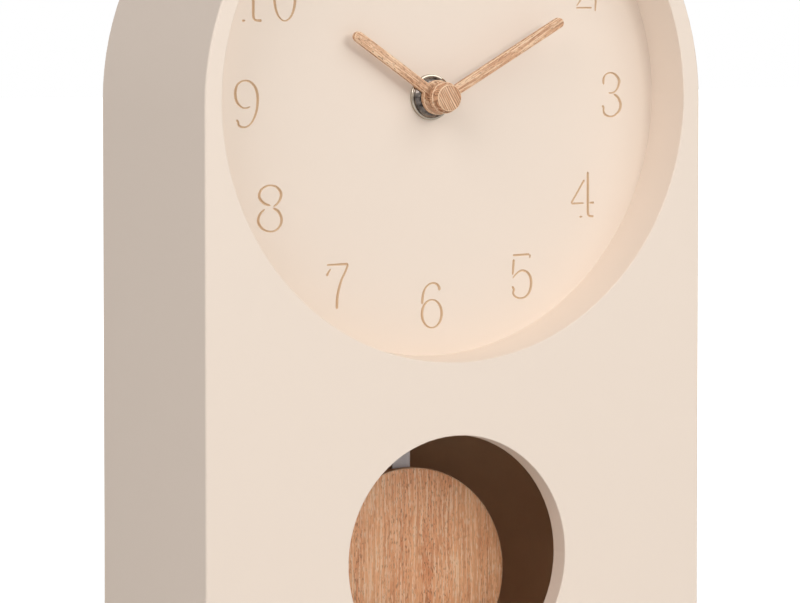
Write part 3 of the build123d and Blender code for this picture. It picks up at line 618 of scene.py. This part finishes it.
FIGURES = {
    "0": [oval(0.0, 0.0, 0.243, 0.478)],
    "1": [
        [(-0.15, 0.34, 0.5), (-0.08, 0.385, 0.6), (-0.02, 0.46, 0.6)],
        [(0.03, 0.475, 1.0), (0.03, 0.187, 1.0), (0.03, -0.157, 1.0), (0.033, -0.385, 0.95),
         (0.075, -0.455, 0.75), (0.15, -0.467, 0.8), (0.225, -0.470, 1.1)],
        [(-0.235, -0.47, 0.8), (-0.20, -0.469, 0.7), (-0.16, -0.467, 0.45)],
    ],
    "2": [
        [(-0.22, 0.24, 0.8), (-0.20, 0.32, 0.9), (-0.15, 0.42, 0.6), (-0.02, 0.475, 0.55),
         (0.12, 0.43, 0.8), (0.19, 0.30, 1.0), (0.16, 0.12, 0.9), (0.04, -0.10, 0.7),
         (-0.11, -0.30, 0.55), (-0.22, -0.44, 0.5)],
        [(-0.225, -0.47, 0.5), (-0.02, -0.468, 0.55), (0.165, -0.47, 0.6)],
        [(0.27, -0.26, 0.8), (0.262, -0.40, 0.75), (0.255, -0.545, 0.5)],
    ],
    "3": [
        [(-0.197, 0.215, 0.7), (-0.203, 0.32, 0.9), (-0.155, 0.42, 0.6), (-0.033, 0.468, 0.55),
         (0.10, 0.424, 0.8), (0.191, 0.307, 1.0), (0.176, 0.19, 0.85), (0.116, 0.085, 0.6),
         (0.027, 0.035, 0.5), (-0.08, 0.033, 0.45)],
        [(0.05, 0.012, 0.6), (0.161, -0.065, 0.9), (0.232, -0.215, 1.0), (0.191, -0.36, 0.85),
         (0.057, -0.463, 0.55), (-0.063, -0.471, 0.6), (-0.167, -0.424, 0.85), (-0.20, -0.35, 0.7),
         (-0.197, -0.28, 0.8), (-0.236, -0.236, 0.9)],
    ],
    "4": [
        [(0.046, 0.328, 0.75), (-0.119, 0.075, 0.7), (-0.283, -0.172, 0.7)],
        [(-0.276, -0.181, 0.65), (-0.12, -0.178, 0.6), (0.032, -0.175, 0.55)],
        [(0.131, 0.505, 0.9), (0.136, 0.187, 1.0), (0.136, -0.157, 1.0), (0.139, -0.385, 0.95),
         (0.175, -0.455, 0.75), (0.281, -0.467, 0.75)],
        [(0.175, -0.172, 0.6), (0.23, -0.171, 0.7), (0.29, -0.169, 0.9)],
        [(-0.075, -0.47, 0.8), (-0.04, -0.469, 0.7), (0.0, -0.467, 0.45)],
    ],
    "5": [
        [(-0.207, 0.448, 0.65), (0.0, 0.456, 0.7), (0.204, 0.463, 0.75)],
        [(0.222, 0.458, 0.7), (0.213, 0.38, 0.45)],
        [(-0.184, 0.365, 0.95), (-0.195, 0.20, 0.9), (-0.207, 0.03, 0.7)],
        [(-0.21, -0.045, 0.5), (-0.139, 0.033, 0.55), (-0.05, 0.098, 0.65), (0.04, 0.119, 0.7),
         (0.16, 0.072, 0.85), (0.234, -0.046, 1.0), (0.246, -0.19, 1.0), (0.204, -0.346, 0.85),
         (0.10, -0.45, 0.65), (-0.034, -0.476, 0.6), (-0.154, -0.43, 0.7), (-0.199, -0.36, 0.8),
         (-0.178, -0.28, 0.8), (-0.228, -0.215, 0.9)],
    ],
    "6": [
        [(0.189, 0.313, 0.9), (0.196, 0.366, 1.0), (0.150, 0.440, 0.85), (0.056, 0.478, 0.65),
         (-0.046, 0.455, 0.6), (-0.131, 0.388, 0.7), (-0.186, 0.284, 0.85), (-0.21, 0.164, 0.95),
         (-0.22, 0.03, 0.85)],
        oval(0.014, -0.176, 0.24, 0.298),
    ],
    "7": [
        [(-0.246, 0.461, 0.6), (0.0, 0.467, 0.7), (0.258, 0.472, 0.85)],
        [(-0.157, 0.379, 0.45), (-0.205, 0.315, 0.7), (-0.252, 0.232, 1.0)],
        [(0.262, 0.468, 0.8), (0.193, 0.313, 0.75), (0.103, 0.144, 0.8), (0.037, -0.052, 0.95),
         (-0.001, -0.235, 1.0), (-0.01, -0.475, 1.0)],
    ],
    "8": [
        [(0.022, 0.057, 0.6), (-0.118, 0.104, 0.9), (-0.222, 0.196, 1.0), (-0.249, 0.287, 1.0),
         (-0.193, 0.405, 0.75), (-0.073, 0.47, 0.6), (0.016, 0.483, 0.55), (0.151, 0.452, 0.75),
         (0.249, 0.352, 1.0), (0.264, 0.248, 1.0), (0.196, 0.117, 0.75), (0.082, 0.030, 0.55)],
        [(0.072, 0.010, 0.65), (0.196, -0.06, 1.0), (0.27, -0.196, 1.0), (0.261, -0.326, 0.9),
         (0.166, -0.444, 0.65), (0.016, -0.483, 0.55), (-0.148, -0.436, 0.75),
         (-0.252, -0.326, 1.0), (-0.273, -0.222, 1.0), (-0.222, -0.104, 0.85),
         (-0.118, -0.010, 0.5)],
    ],
    "9": [
        [(0.09, -0.052, 0.7), (0.0, -0.089, 0.5), (-0.104, -0.073, 0.6), (-0.20, 0.005, 0.85),
         (-0.254, 0.123, 1.0), (-0.263, 0.253, 1.0), (-0.224, 0.384, 0.8), (-0.134, 0.462, 0.6),
         (-0.03, 0.486, 0.6), (0.09, 0.457, 0.75), (0.194, 0.358, 0.95), (0.25, 0.214, 1.0),
         (0.26, 0.057, 1.0), (0.239, -0.125, 0.9), (0.185, -0.277, 0.75), (0.099, -0.413, 0.6),
         (-0.015, -0.483, 0.55), (-0.119, -0.478, 0.7), (-0.185, -0.439, 0.85),
         (-0.203, -0.366, 0.8), (-0.245, -0.326, 0.9)],
    ],
}

# How far the middle of a numeral stands from its place on the circle, across and up, in metres.
NUDGES = {
    2: (-0.0005, 0.0015), 3: (0.0004, 0.0), 4: (-0.0012, 0.0008), 5: (0.0001, -0.0002),
    6: (0.0003, 0.0002), 7: (-0.0002, -0.0014), 8: (0.0002, -0.0007), 9: (0.0009, -0.0011),
    10: (-0.0001, -0.0014),
}

# The spacing of a numeral's two figures, as a share of the usual one.
SPACING = {10: 1.21, 11: 0.7}

# How far a cutting wedge stands out of the dial, as a share of its depth, and the least share of
# its width that a stroke has at its ends.
PROUD = 0.25
BLUNT = 0.15


def through(points, count):
    """A smooth curve through a stroke's points (a Catmull-Rom spline), and whether it is closed.

    On the span from P1 to P2, with s from 0 to 1:
    C = (2 P1 + (P2 - P0) s + (2 P0 - 5 P1 + 4 P2 - P3) s^2 + (3 P1 - P0 - 3 P2 + P3) s^3) / 2
    """
    closed = isinstance(points, np.ndarray)
    given = np.asarray(points, float)
    spans = len(given) if closed else len(given) - 1
    at = np.linspace(0, spans, count, endpoint=not closed)
    first = np.minimum(at.astype(int), spans - 1)
    s = (at - first)[:, None]
    if closed:
        p0, p1, p2, p3 = (given[(first + step) % spans] for step in (-1, 0, 1, 2))
    else:
        before, behind = 2 * given[:1] - given[1:2], 2 * given[-1:] - given[-2:-1]
        padded = np.concatenate([before, given, behind])
        p0, p1, p2, p3 = (padded[first + step] for step in (0, 1, 2, 3))
    square = (2 * p0 - 5 * p1 + 4 * p2 - p3) * s**2
    cube = (3 * p1 - p0 - 3 * p2 + p3) * s**3
    return (2 * p1 + (p2 - p0) * s + square + cube) / 2, closed


def groove(points, middle, settings):
    """A closed wedge that cuts one stroke: a V section carried along the stroke's curve.

    At each step the V has its two upper corners at half the width to each side of the curve, a
    little in front of the dial, and its point below the curve at a depth that follows the width.
    An open stroke's ends are rounded by width x sqrt(1 - (1 - distance / width)^2).
    """
    curve, closed = through(points, settings.samples)
    place = curve[:, :2] * settings.numeral_height
    width = np.clip(curve[:, 2], 0.1, 1.2) * settings.stroke_width / 2
    if closed:
        run = np.roll(place, -1, axis=0) - np.roll(place, 1, axis=0)
    else:
        run = np.gradient(place, axis=0)
        step = np.concatenate([[0], np.cumsum(np.linalg.norm(np.diff(place, axis=0), axis=1))])
        near = np.clip(np.minimum(step, step[-1] - step) / width, 0.0, 1.0)
        width = width * np.maximum(np.sqrt(1 - (1 - near) ** 2), BLUNT)
    run /= np.linalg.norm(run, axis=1)[:, None]
    side = np.stack([-run[:, 1], run[:, 0]], axis=1)
    depth = width * settings.stroke_depth / (settings.stroke_width / 2)
    wide = width[:, None] * (1 + PROUD) * side
    front, back = DIAL_FACE - depth * PROUD, DIAL_FACE + depth
    sections = np.stack([
        np.stack([middle[0] + at[:, 0], y, middle[1] + at[:, 1]], 1)
        for at, y in ((place + wide, front), (place - wide, front), (place, back))
    ], axis=1)
    corners = sections.reshape(-1, 3)
    end = len(corners)
    caps = [] if closed else [[0, 1, 2], [end - 1, end - 2, end - 3]]
    quads = grid_faces(len(place), 3, closed, True)
    return corners, quads, np.array(caps, int).reshape(-1, 3)


def numeral_cutter(settings, material):
    """Every stroke of the twelve numerals as one mesh of wedges."""
    corners, quads, caps = [], [], []
    start = 0
    for hour in range(1, 13):
        text = str(hour)
        turn = math.radians(90 - 30 * hour)
        across, up = NUDGES.get(hour, (0.0, 0.0))
        for place, figure in enumerate(text):
            spacing = settings.figure_spacing * SPACING.get(hour, 1.0)
            step = (place - (len(text) - 1) / 2) * spacing
            middle = (
                DIAL_MIDDLE.x + settings.numeral_radius * math.cos(turn) + across + step,
                DIAL_MIDDLE.z + settings.numeral_radius * math.sin(turn) + up,
            )
            for points in FIGURES[figure]:
                stroke, stroke_quads, stroke_caps = groove(points, middle, settings)
                corners.append(stroke)
                quads.append(stroke_quads + start)
                caps.append(stroke_caps + start)
                start += len(stroke)
    cutter = surface_object("numeral_cutter", (np.concatenate(corners), quads + caps), material)
    fix_normals(cutter.data)
    return cutter


def carve(made, cutter):
    """Cuts the wedges out of a piece and keeps the result as the piece's own mesh."""
    cut = made.modifiers.new("engraving", "BOOLEAN")
    cut.operation = "DIFFERENCE"
    cut.solver = "EXACT"
    cut.use_self = True
    cut.material_mode = "TRANSFER"
    cut.object = cutter
    view = bpy.context.evaluated_depsgraph_get()
    carved = bpy.data.meshes.new_from_object(made.evaluated_get(view))
    made.modifiers.clear()
    made.data = carved
    bpy.data.objects.remove(cutter)


# Hands


def hand_outline(reach, hub, half_width, count):
    """A hand's outline from its hub, pointing along +X: a round hub, two straight sides and a
    round tip, and the directions of its points.

    In each direction a, the distance to the outline is that to the tip's circle,
    c cos a + sqrt(w^2 - c^2 sin^2 a), then to the straight side, w / |sin a|, and then the hub's
    radius, with w the half width and c the middle of the tip's circle.
    """
    centre = reach - half_width
    corner = math.atan2(half_width, centre)
    root = math.asin(half_width / hub)
    tip = np.linspace(-corner, corner, count // 4)
    side = np.geomspace(corner, root, count // 4)[1:]
    rest = np.linspace(root, 2 * np.pi - root, count - 2 * len(side) - len(tip) + 2)[1:-1]
    bearing = np.concatenate([tip, side, rest, 2 * np.pi - side[::-1]])
    with np.errstate(divide="ignore", invalid="ignore"):
        chord = half_width**2 - (centre * np.sin(bearing)) ** 2
        to_tip = centre * np.cos(bearing) + np.sqrt(np.maximum(chord, 0))
        to_side = half_width / np.abs(np.sin(bearing))
    off_axis = np.minimum(bearing % (2 * np.pi), 2 * np.pi - bearing % (2 * np.pi))
    hair = 1e-9
    out = np.where(off_axis <= root + hair, to_side, hub)
    out = np.where(off_axis <= corner + hair, to_tip, out)
    return np.stack([out * np.cos(bearing), out * np.sin(bearing)], axis=1), bearing


def hand(node, hub, bore, reach, turned_by, settings, material):
    """A wooden hand: its outline carried round a section with rounded edges, with the bore
    through its hub.

    Each ring is the outline drawn in by a distance along its own normals, or the bore's circle,
    and lies at its own depth: front face, front edge, back edge, back face and bore follow each
    other round the section.
    """
    low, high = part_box(node)
    outline, bearing = hand_outline(reach, hub, settings.width / 2, 220)
    run = np.roll(outline, -1, axis=0) - np.roll(outline, 1, axis=0)
    run /= np.linalg.norm(run, axis=1)[:, None]
    outward = np.stack([run[:, 1], -run[:, 0]], axis=1)
    edge = settings.edge
    bend = np.linspace(0, np.pi / 2, 5)
    back = bend[::-1]
    inset = np.concatenate([edge * (1 - np.cos(back)), edge * (1 - np.cos(bend))])
    depth = np.concatenate([low.y + edge * (1 - np.sin(back)), high.y - edge * (1 - np.sin(bend))])
    rings = outline[None] - inset[:, None, None] * outward[None]
    hole = bore * np.stack([np.cos(bearing), np.sin(bearing)], axis=1)
    rings = np.concatenate([rings, hole[None], hole[None]])
    depth = np.concatenate([depth, [high.y, low.y]])
    turn = math.pi / 2 - turned_by
    x = rings[..., 0] * math.cos(turn) - rings[..., 1] * math.sin(turn) + DIAL_MIDDLE.x
    z = rings[..., 0] * math.sin(turn) + rings[..., 1] * math.cos(turn) + DIAL_MIDDLE.z
    y = np.broadcast_to(depth[:, None], x.shape)
    corners = np.stack([x, y, z], axis=-1).reshape(-1, 3)
    faces = [grid_faces(len(depth), len(outline), True, True)]
    piece(f"{node}_wood", (corners, faces), material, node, node)


# Operators


class CLOCK_OT_case(bpy.types.Operator):
    """Finish the moulded case, its back cover, screws and feet"""

    bl_idname = "clock.case"
    bl_label = "Case"
    bl_options = {"REGISTER", "UNDO"}

    def execute(self, context):
        settings = context.scene.clock_case
        dress(case_plastic("case plastic", settings), "front_shell")
        board = moulded("back board", settings.cover_colour, 0.75, 0.0007, 0.00003, 0.04, 160.0)
        dress(board, "back_cover")
        dress(brushed("zinc screws", (0.66, 0.66, 0.67)), "cover_screws")
        rubber = moulded("foot rubber", (0.20, 0.19, 0.19), 0.85, 0.0003, 0.00002, 0.08, 300.0)
        dress(rubber, "rubber_feet")
        return {"FINISHED"}


class CLOCK_OT_dial(bpy.types.Operator):
    """Make the dial with its engraved numerals"""

    bl_idname = "clock.dial"
    bl_label = "Dial"
    bl_options = {"REGISTER", "UNDO"}

    def execute(self, context):
        case, settings = context.scene.clock_case, context.scene.clock_dial
        plastic = case_plastic("dial plastic", case)
        cut = moulded("numeral groove", settings.groove_colour, 0.6, 0.0003, 0.000006, 0.04, 200.0)
        back = DIAL_HIGH.y
        profile = np.array([
            [DIAL_RADIUS, DIAL_FACE], [DIAL_RADIUS, back], [BUSH_HOLE, back],
            [BUSH_HOLE, DIAL_FACE],
        ])
        disc = turned(profile, DIAL_MIDDLE, 256)
        plate = piece("dial_plate", disc, plastic, "case", "dial")
        carve(plate, numeral_cutter(settings, cut))
        plate.data.set_sharp_from_angle(angle=math.radians(25))
        return {"FINISHED"}


# The nut's side from its back edge to the foot of its bevel: how far in from the rim and how far
# in front of the back, in metres. A thin step stands at the dial, and a neck follows. The step's
# bright colour is a painted reflection.
NUT_SIDE = np.array([
    [0.0001, 0.0], [0.0, 0.0001], [0.0, 0.0006], [0.00012, 0.00075], [0.00045, 0.0008],
    [0.00055, 0.0009], [0.00058, 0.0014], [0.0007, 0.0016],
])


class CLOCK_OT_hands(bpy.types.Operator):
    """Make the wooden hands, their cap and the polished nut"""

    bl_idname = "clock.hands"
    bl_label = "Hands and nut"
    bl_options = {"REGISTER", "UNDO"}

    def execute(self, context):
        wood, hands = context.scene.clock_wood, context.scene.clock_hands
        for name, bore, light, dark in (
            ("hour", HOUR_BORE, wood.hour_light, wood.hour_dark),
            ("minute", MINUTE_BORE, wood.minute_light, wood.minute_dark),
        ):
            hub, reach, turned_by = (
                getattr(hands, f"{name}_{size}") for size in ("hub", "reach", "angle")
            )
            blade = oak(
                f"{name} hand oak", light, dark, wood, DIAL_MIDDLE, turned_by, painted_highlight=0.9,
                Pale_lines=0.70, Dark_lines=0.28, Growth_lines=0.15, Dashes=0.9, Coarseness=0.9,
            )
            hand(f"{name}_hand", hub, bore, reach, turned_by, hands, blade)
        self.cap(wood, 1.4 * hands.edge)
        self.nut()
        brass = brushed("turned brass", (0.83, 0.70, 0.42), 0.28, (1.0, 0.05, 1.0))
        dress(brass, "fixing_bush", "minute_arbor")
        return {"FINISHED"}

    def cap(self, wood, edge):
        """The round button over the arbor's tip: a disc with a rounded edge and a blind hole."""
        off_middle = Vector((0.004, 0, 0.007))
        grain = oak(
            "cap oak", wood.hour_light, wood.hour_dark, wood, DIAL_MIDDLE + off_middle,
            math.radians(-28), painted_highlight=0.9, Pale_lines=0.40, Dark_lines=0.0, Growth_lines=0.66,
            Dashes=0.3,
        )
        radius = (CAP_HIGH.x - CAP_LOW.x) / 2
        back, floor = CAP_HIGH.y, CAP_HIGH.y - CAP_DEPTH
        profile = np.concatenate([
            [[0, CAP_LOW.y]], round_edge(radius, CAP_LOW.y, edge, 1),
            [[radius, back], [MINUTE_BORE, back], [MINUTE_BORE, floor], [0, floor]],
        ])
        surface = turned_solid(profile, DIAL_MIDDLE, 96)
        piece("hand_cap_wood", surface, grain, "minute_hand", "hand_cap")

    def nut(self):
        """The round nut: a flat polished face, a wide bevel, a neck and a thin step. Its colour is
        painted reflection: dark and mottled on the face and bevel, bright on the step.
        """
        radius = (NUT_HIGH.x - NUT_LOW.x) / 2
        front, back = NUT_LOW.y, NUT_HIGH.y
        # The bore's back edge, the side, the bevel's top, the face and its chamfered bore.
        profile = np.concatenate([
            [[NUT_BORE, back]], [radius, back] - NUT_SIDE,
            [[radius - 0.0016, front + 0.0001], [radius - 0.0018, front],
             [NUT_BORE + 0.0003, front], [NUT_BORE, front + 0.0003]],
        ])
        material, tree, shader, place = new_material("polished nut")
        middle = (DIAL_MIDDLE.x, 0.0, DIAL_MIDDLE.z)
        spot = vector_maths(tree, "SUBTRACT", place["Object"], middle)
        off_axis = distance(tree, vector_maths(tree, "MULTIPLY", spot, (1.0, 0.0, 1.0)))
        # Painted reflections by distance from the axis: the face and bevel get a dark colour
        # mottled with a paler one, and the outer step gets a bright one.
        step = ramp(tree, off_axis, radius - 0.00055, radius - 0.0004)
        smudge_and_painted_mottle = noise(tree, place["Object"], 700.0, 3.0, 0.6)
        # The colours of the painted reflections: dark and pale for the face and bevel, bright for
        # the step.
        dark, pale, painted_rim_reflection = (
            linear(seen) for seen in ((0.25, 0.23, 0.22), (0.55, 0.51, 0.48), (0.72, 0.68, 0.62))
        )
        bevel = mix(tree, ramp(tree, smudge_and_painted_mottle, 0.35, 0.62), dark, pale)
        feed(shader["Base Color"], mix(tree, step, bevel, painted_rim_reflection))
        feed(shader["Roughness"], ramp(tree, smudge_and_painted_mottle, 0.3, 0.8, 0.08, 0.20))
        feed(shader["Metallic"], 1.0)
        ring = turned(profile, DIAL_MIDDLE, 128)
        piece("dial_nut_polished", ring, material, "case", "dial_nut", 25.0)


class CLOCK_OT_pendulum(bpy.types.Operator):
    """Make the wooden bob and finish its rod, backing and hanger"""

    bl_idname = "clock.pendulum"
    bl_label = "Pendulum"
    bl_options = {"REGISTER", "UNDO"}

    def execute(self, context):
        wood = context.scene.clock_wood
        radius, edge = (BOB_HIGH.x - BOB_LOW.x) / 2, wood.bob_edge
        profile = np.concatenate([
            [[0, BOB_LOW.y]], round_edge(radius, BOB_LOW.y, edge, 1),
            round_edge(radius, BOB_HIGH.y, edge, -1)[::-1], [[0, BOB_HIGH.y]],
        ])
        surface = turned_solid(profile, (BOB_LOW + BOB_HIGH) / 2, 192)
        grain = oak(
            "bob oak", wood.bob_light, wood.bob_dark, wood, (0.013, 0.0, 0.02), 0.0,
            Pale_lines=0.60, Dark_lines=0.16, Growth_lines=0.05, Dashes=0.62,
        )
        piece("bob_wood", surface, grain, "pendulum", "pendulum_bob")
        dress(brushed("rod steel", (0.78, 0.75, 0.745), 0.45), "pendulum_rod", "pivot_pin")
        backing = moulded("backing plastic", (0.13, 0.11, 0.10), 0.5, 0.0003)
        dress(backing, "bob_backing", "pendulum_hanger")
        ferrite = moulded("ferrite", (0.22, 0.22, 0.23), 0.45, 0.0002, 0.00001, 0.06, 500.0)
        dress(ferrite, "drive_magnet", "rotor_magnet")
        return {"FINISHED"}


# The movement's finishes: the nodes, then what moulded and brushed take.
MOVEMENT_MOULDED = (
    (("movement_front_plate", "movement_rear_case", "setting_knob"),
     "housing plastic", (0.12, 0.12, 0.13), 0.5, 0.0003, 0.00002, 0.05, 60.0),
    (("middle_plate", "coil_bobbin", "drive_bobbin"),
     "plate plastic", (0.90, 0.90, 0.88), 0.45, 0.0003),
    (("hour_wheel", "minute_wheel", "centre_wheel", "third_wheel", "second_wheel",
      "intermediate_wheel", "rotor_pinion"),
     "wheel plastic", (0.93, 0.92, 0.88), 0.4, 0.0002),
    (("rubber_washer",), "washer rubber", (0.15, 0.15, 0.15), 0.85, 0.0002, 0.00002),
    (("circuit_board",),
     "board lacquer", (0.16, 0.36, 0.22), 0.35, 0.0005, 0.00001, 0.12, 900.0),
    (("control_chip",), "chip resin", (0.06, 0.06, 0.06), 0.2, 0.0004, 0.00001, 0.02),
)
MOVEMENT_BRUSHED = (
    (("stator", "coil_core"), "motor sheet", (0.66, 0.66, 0.68), 0.35, (0.03, 1.0, 1.0)),
    (("quartz_crystal",), "crystal can", (0.78, 0.78, 0.79), 0.25),
    (("negative_contact", "positive_contact"), "contact nickel", (0.80, 0.79, 0.76), 0.3),
)


class CLOCK_OT_movement(bpy.types.Operator):
    """Finish the movement: its housing, wheels, motor, board, coils and battery"""

    bl_idname = "clock.movement"
    bl_label = "Movement"
    bl_options = {"REGISTER", "UNDO"}

    def execute(self, context):
        for finish, rows in ((moulded, MOVEMENT_MOULDED), (brushed, MOVEMENT_BRUSHED)):
            for nodes, *values in rows:
                dress(finish(*values), *nodes)
        copper = (0.72, 0.38, 0.20)
        dress(wound("motor winding", copper, "Z"), "motor_coil")
        dress(wound("drive winding", copper, "Y"), "drive_coil")
        dress(self.cell(), "battery")
        return {"FINISHED"}

    def cell(self):
        """The cell's wrapper: dark for most of its length, with a coloured band at the nub's end,
        and bare metal at both ends.
        """
        material, tree, shader, place = new_material("cell wrapper")
        low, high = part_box("battery")
        band_start, nub_start, far_rim = high.x - 0.0145, high.x - 0.00125, low.x + 0.0003
        blur = 0.00005
        along = add_node(tree, "SeparateXYZ", {"Vector": place["Object"]}).outputs["X"]
        band = ramp(tree, along, band_start, band_start + 2 * blur)
        nub = ramp(tree, along, nub_start, nub_start + blur)
        far_end = ramp(tree, along, far_rim + blur, far_rim)
        bare = maths(tree, "MAXIMUM", nub, far_end)
        dark, orange, metal = (
            linear(seen) for seen in ((0.11, 0.11, 0.12), (0.78, 0.52, 0.26), (0.80, 0.80, 0.80))
        )
        wrapper = mix(tree, band, dark, orange)
        feed(shader["Base Color"], mix(tree, bare, wrapper, metal))
        feed(shader["Metallic"], bare)
        pebbles = use_group(tree, "Surface grain", place["Object"], Scale=3000.0)
        feed(shader["Roughness"], ramp(tree, pebbles["Hollows"], 0.0, 1.0, 0.26, 0.34))
        return material


# The lamps: place, size and colour. They face one point of the clock.
LAMPS = {
    "key": ((0.365, -2.072, 0.773), 0.45, (1.0, 1.0, 1.0)),
    "soft": ((0.564, -1.735, 1.360), 1.8, (1.0, 1.0, 1.0)),
    "left": ((-1.419, -0.819, 1.277), 1.2, (1.0, 0.97, 0.985)),
}
LAMP_AIM = (0.0, 0.0, 0.13)
WHITE = (1.0, 1.0, 1.0, 1.0)


def stand(made, place, aim):
    """Puts a camera or a lamp at a place, facing a point."""
    made.location = place
    made.rotation_euler = (Vector(aim) - Vector(place)).to_track_quat("-Z", "Y").to_euler()


class CLOCK_OT_stage(bpy.types.Operator):
    """Set the camera, the lamps, the even light and the floor"""

    bl_idname = "clock.stage"
    bl_label = "Stage"
    bl_options = {"REGISTER", "UNDO"}

    def execute(self, context):
        settings = context.scene.clock_stage
        self.camera(context, settings)
        for name, (place, size, tint) in LAMPS.items():
            data = bpy.data.lights.new(f"{name}_lamp", "AREA")
            data.size = size
            data.energy = getattr(settings, f"{name}_power")
            data.color = tint
            stand(add_object(f"{name}_lamp", data), place, LAMP_AIM)
        self.sky(context, settings)
        self.floor()
        context.scene.view_settings.view_transform = "Standard"
        return {"FINISHED"}

    def camera(self, context, settings):
        """A long lens at the photograph's place, turned to its middle."""
        data = bpy.data.cameras.new("camera")
        data.sensor_width = 36.0
        data.sensor_fit = "HORIZONTAL"
        data.lens = settings.lens
        data.clip_end = 30.0
        camera = add_object("camera", data)
        stand(camera, settings.camera_place, settings.camera_aim)
        context.scene.camera = camera

    def sky(self, context, settings):
        """Even light from all round, seen as white by the camera, in gloss and through glass."""
        world = bpy.data.worlds.new("even light")
        context.scene.world = world
        world.use_nodes = True
        tree = world.node_tree
        rays = tree.nodes.new("ShaderNodeLightPath").outputs
        gloss = maths(tree, "MAXIMUM", rays["Is Camera Ray"], rays["Is Glossy Ray"])
        seen = maths(tree, "MAXIMUM", gloss, rays["Is Transmission Ray"])
        background = tree.nodes["Background"].inputs
        feed(background["Strength"], ramp(tree, seen, 0.0, 1.0, settings.sky_strength, 1.0))
        feed(background["Color"], WHITE)

    def floor(self):
        """A wide pale floor that keeps the clock's shadow and runs out to white for the camera,
        with a glow that rises between 25 and 60 cm from the middle.
        """
        half = 6.0
        corners = half * np.array([[-1, -1, 0], [1, -1, 0], [1, 1, 0], [-1, 1, 0]])
        material, tree, shader, place = new_material("pale floor")
        paint(tree, shader, place, (0.93, 0.93, 0.93), scale=1.5, amount=0.01)
        feed(shader["Roughness"], 0.9)
        rise = ramp(tree, distance(tree, place["Object"]), 0.25, 0.60, 0.45, 1.0)
        rays = tree.nodes.new("ShaderNodeLightPath").outputs
        feed(shader["Emission Color"], WHITE)
        glow = maths(tree, "MULTIPLY", rays["Is Camera Ray"], rise)
        feed(shader["Emission Strength"], glow)
        surface_object("floor", (corners, [np.array([[0, 1, 2, 3]])]), material)


class CLOCK_PT_panel(bpy.types.Panel):
    """The clock's pieces and their settings"""

    bl_label = "Desk pendulum clock"
    bl_idname = "CLOCK_PT_panel"
    bl_space_type = "VIEW_3D"
    bl_region_type = "UI"
    bl_category = "Clock"

    def draw(self, context):
        for operator in OPERATORS:
            self.layout.operator(operator.bl_idname)
        for name, group in SETTINGS.items():
            box = self.layout.box()
            box.label(text=group.__doc__)
            settings = getattr(context.scene, name)
            for entry in group.__annotations__:
                box.prop(settings, entry)


OPERATORS = (
    CLOCK_OT_case, CLOCK_OT_dial, CLOCK_OT_hands, CLOCK_OT_pendulum, CLOCK_OT_movement,
    CLOCK_OT_stage,
)
SETTINGS = {
    "clock_case": CaseSettings,
    "clock_dial": DialSettings,
    "clock_hands": HandSettings,
    "clock_wood": WoodSettings,
    "clock_stage": StageSettings,
}


def register():
    """Registers the settings, the operators and the panel, and gives each scene the settings."""
    for kind in (*SETTINGS.values(), *OPERATORS, CLOCK_PT_panel):
        bpy.utils.register_class(kind)
    for name, group in SETTINGS.items():
        setattr(bpy.types.Scene, name, PointerProperty(type=group))


def unregister():
    """Takes back all that register did."""
    for name in SETTINGS:
        delattr(bpy.types.Scene, name)
    for kind in (CLOCK_PT_panel, *reversed(OPERATORS), *reversed(SETTINGS.values())):
        bpy.utils.unregister_class(kind)


def main():
    """Registers the add-on and makes every piece in order."""
    register()
    bpy.ops.clock.case()
    bpy.ops.clock.dial()
    bpy.ops.clock.hands()
    bpy.ops.clock.pendulum()
    bpy.ops.clock.movement()
    bpy.ops.clock.stage()


if __name__ == "__main__":
    main()
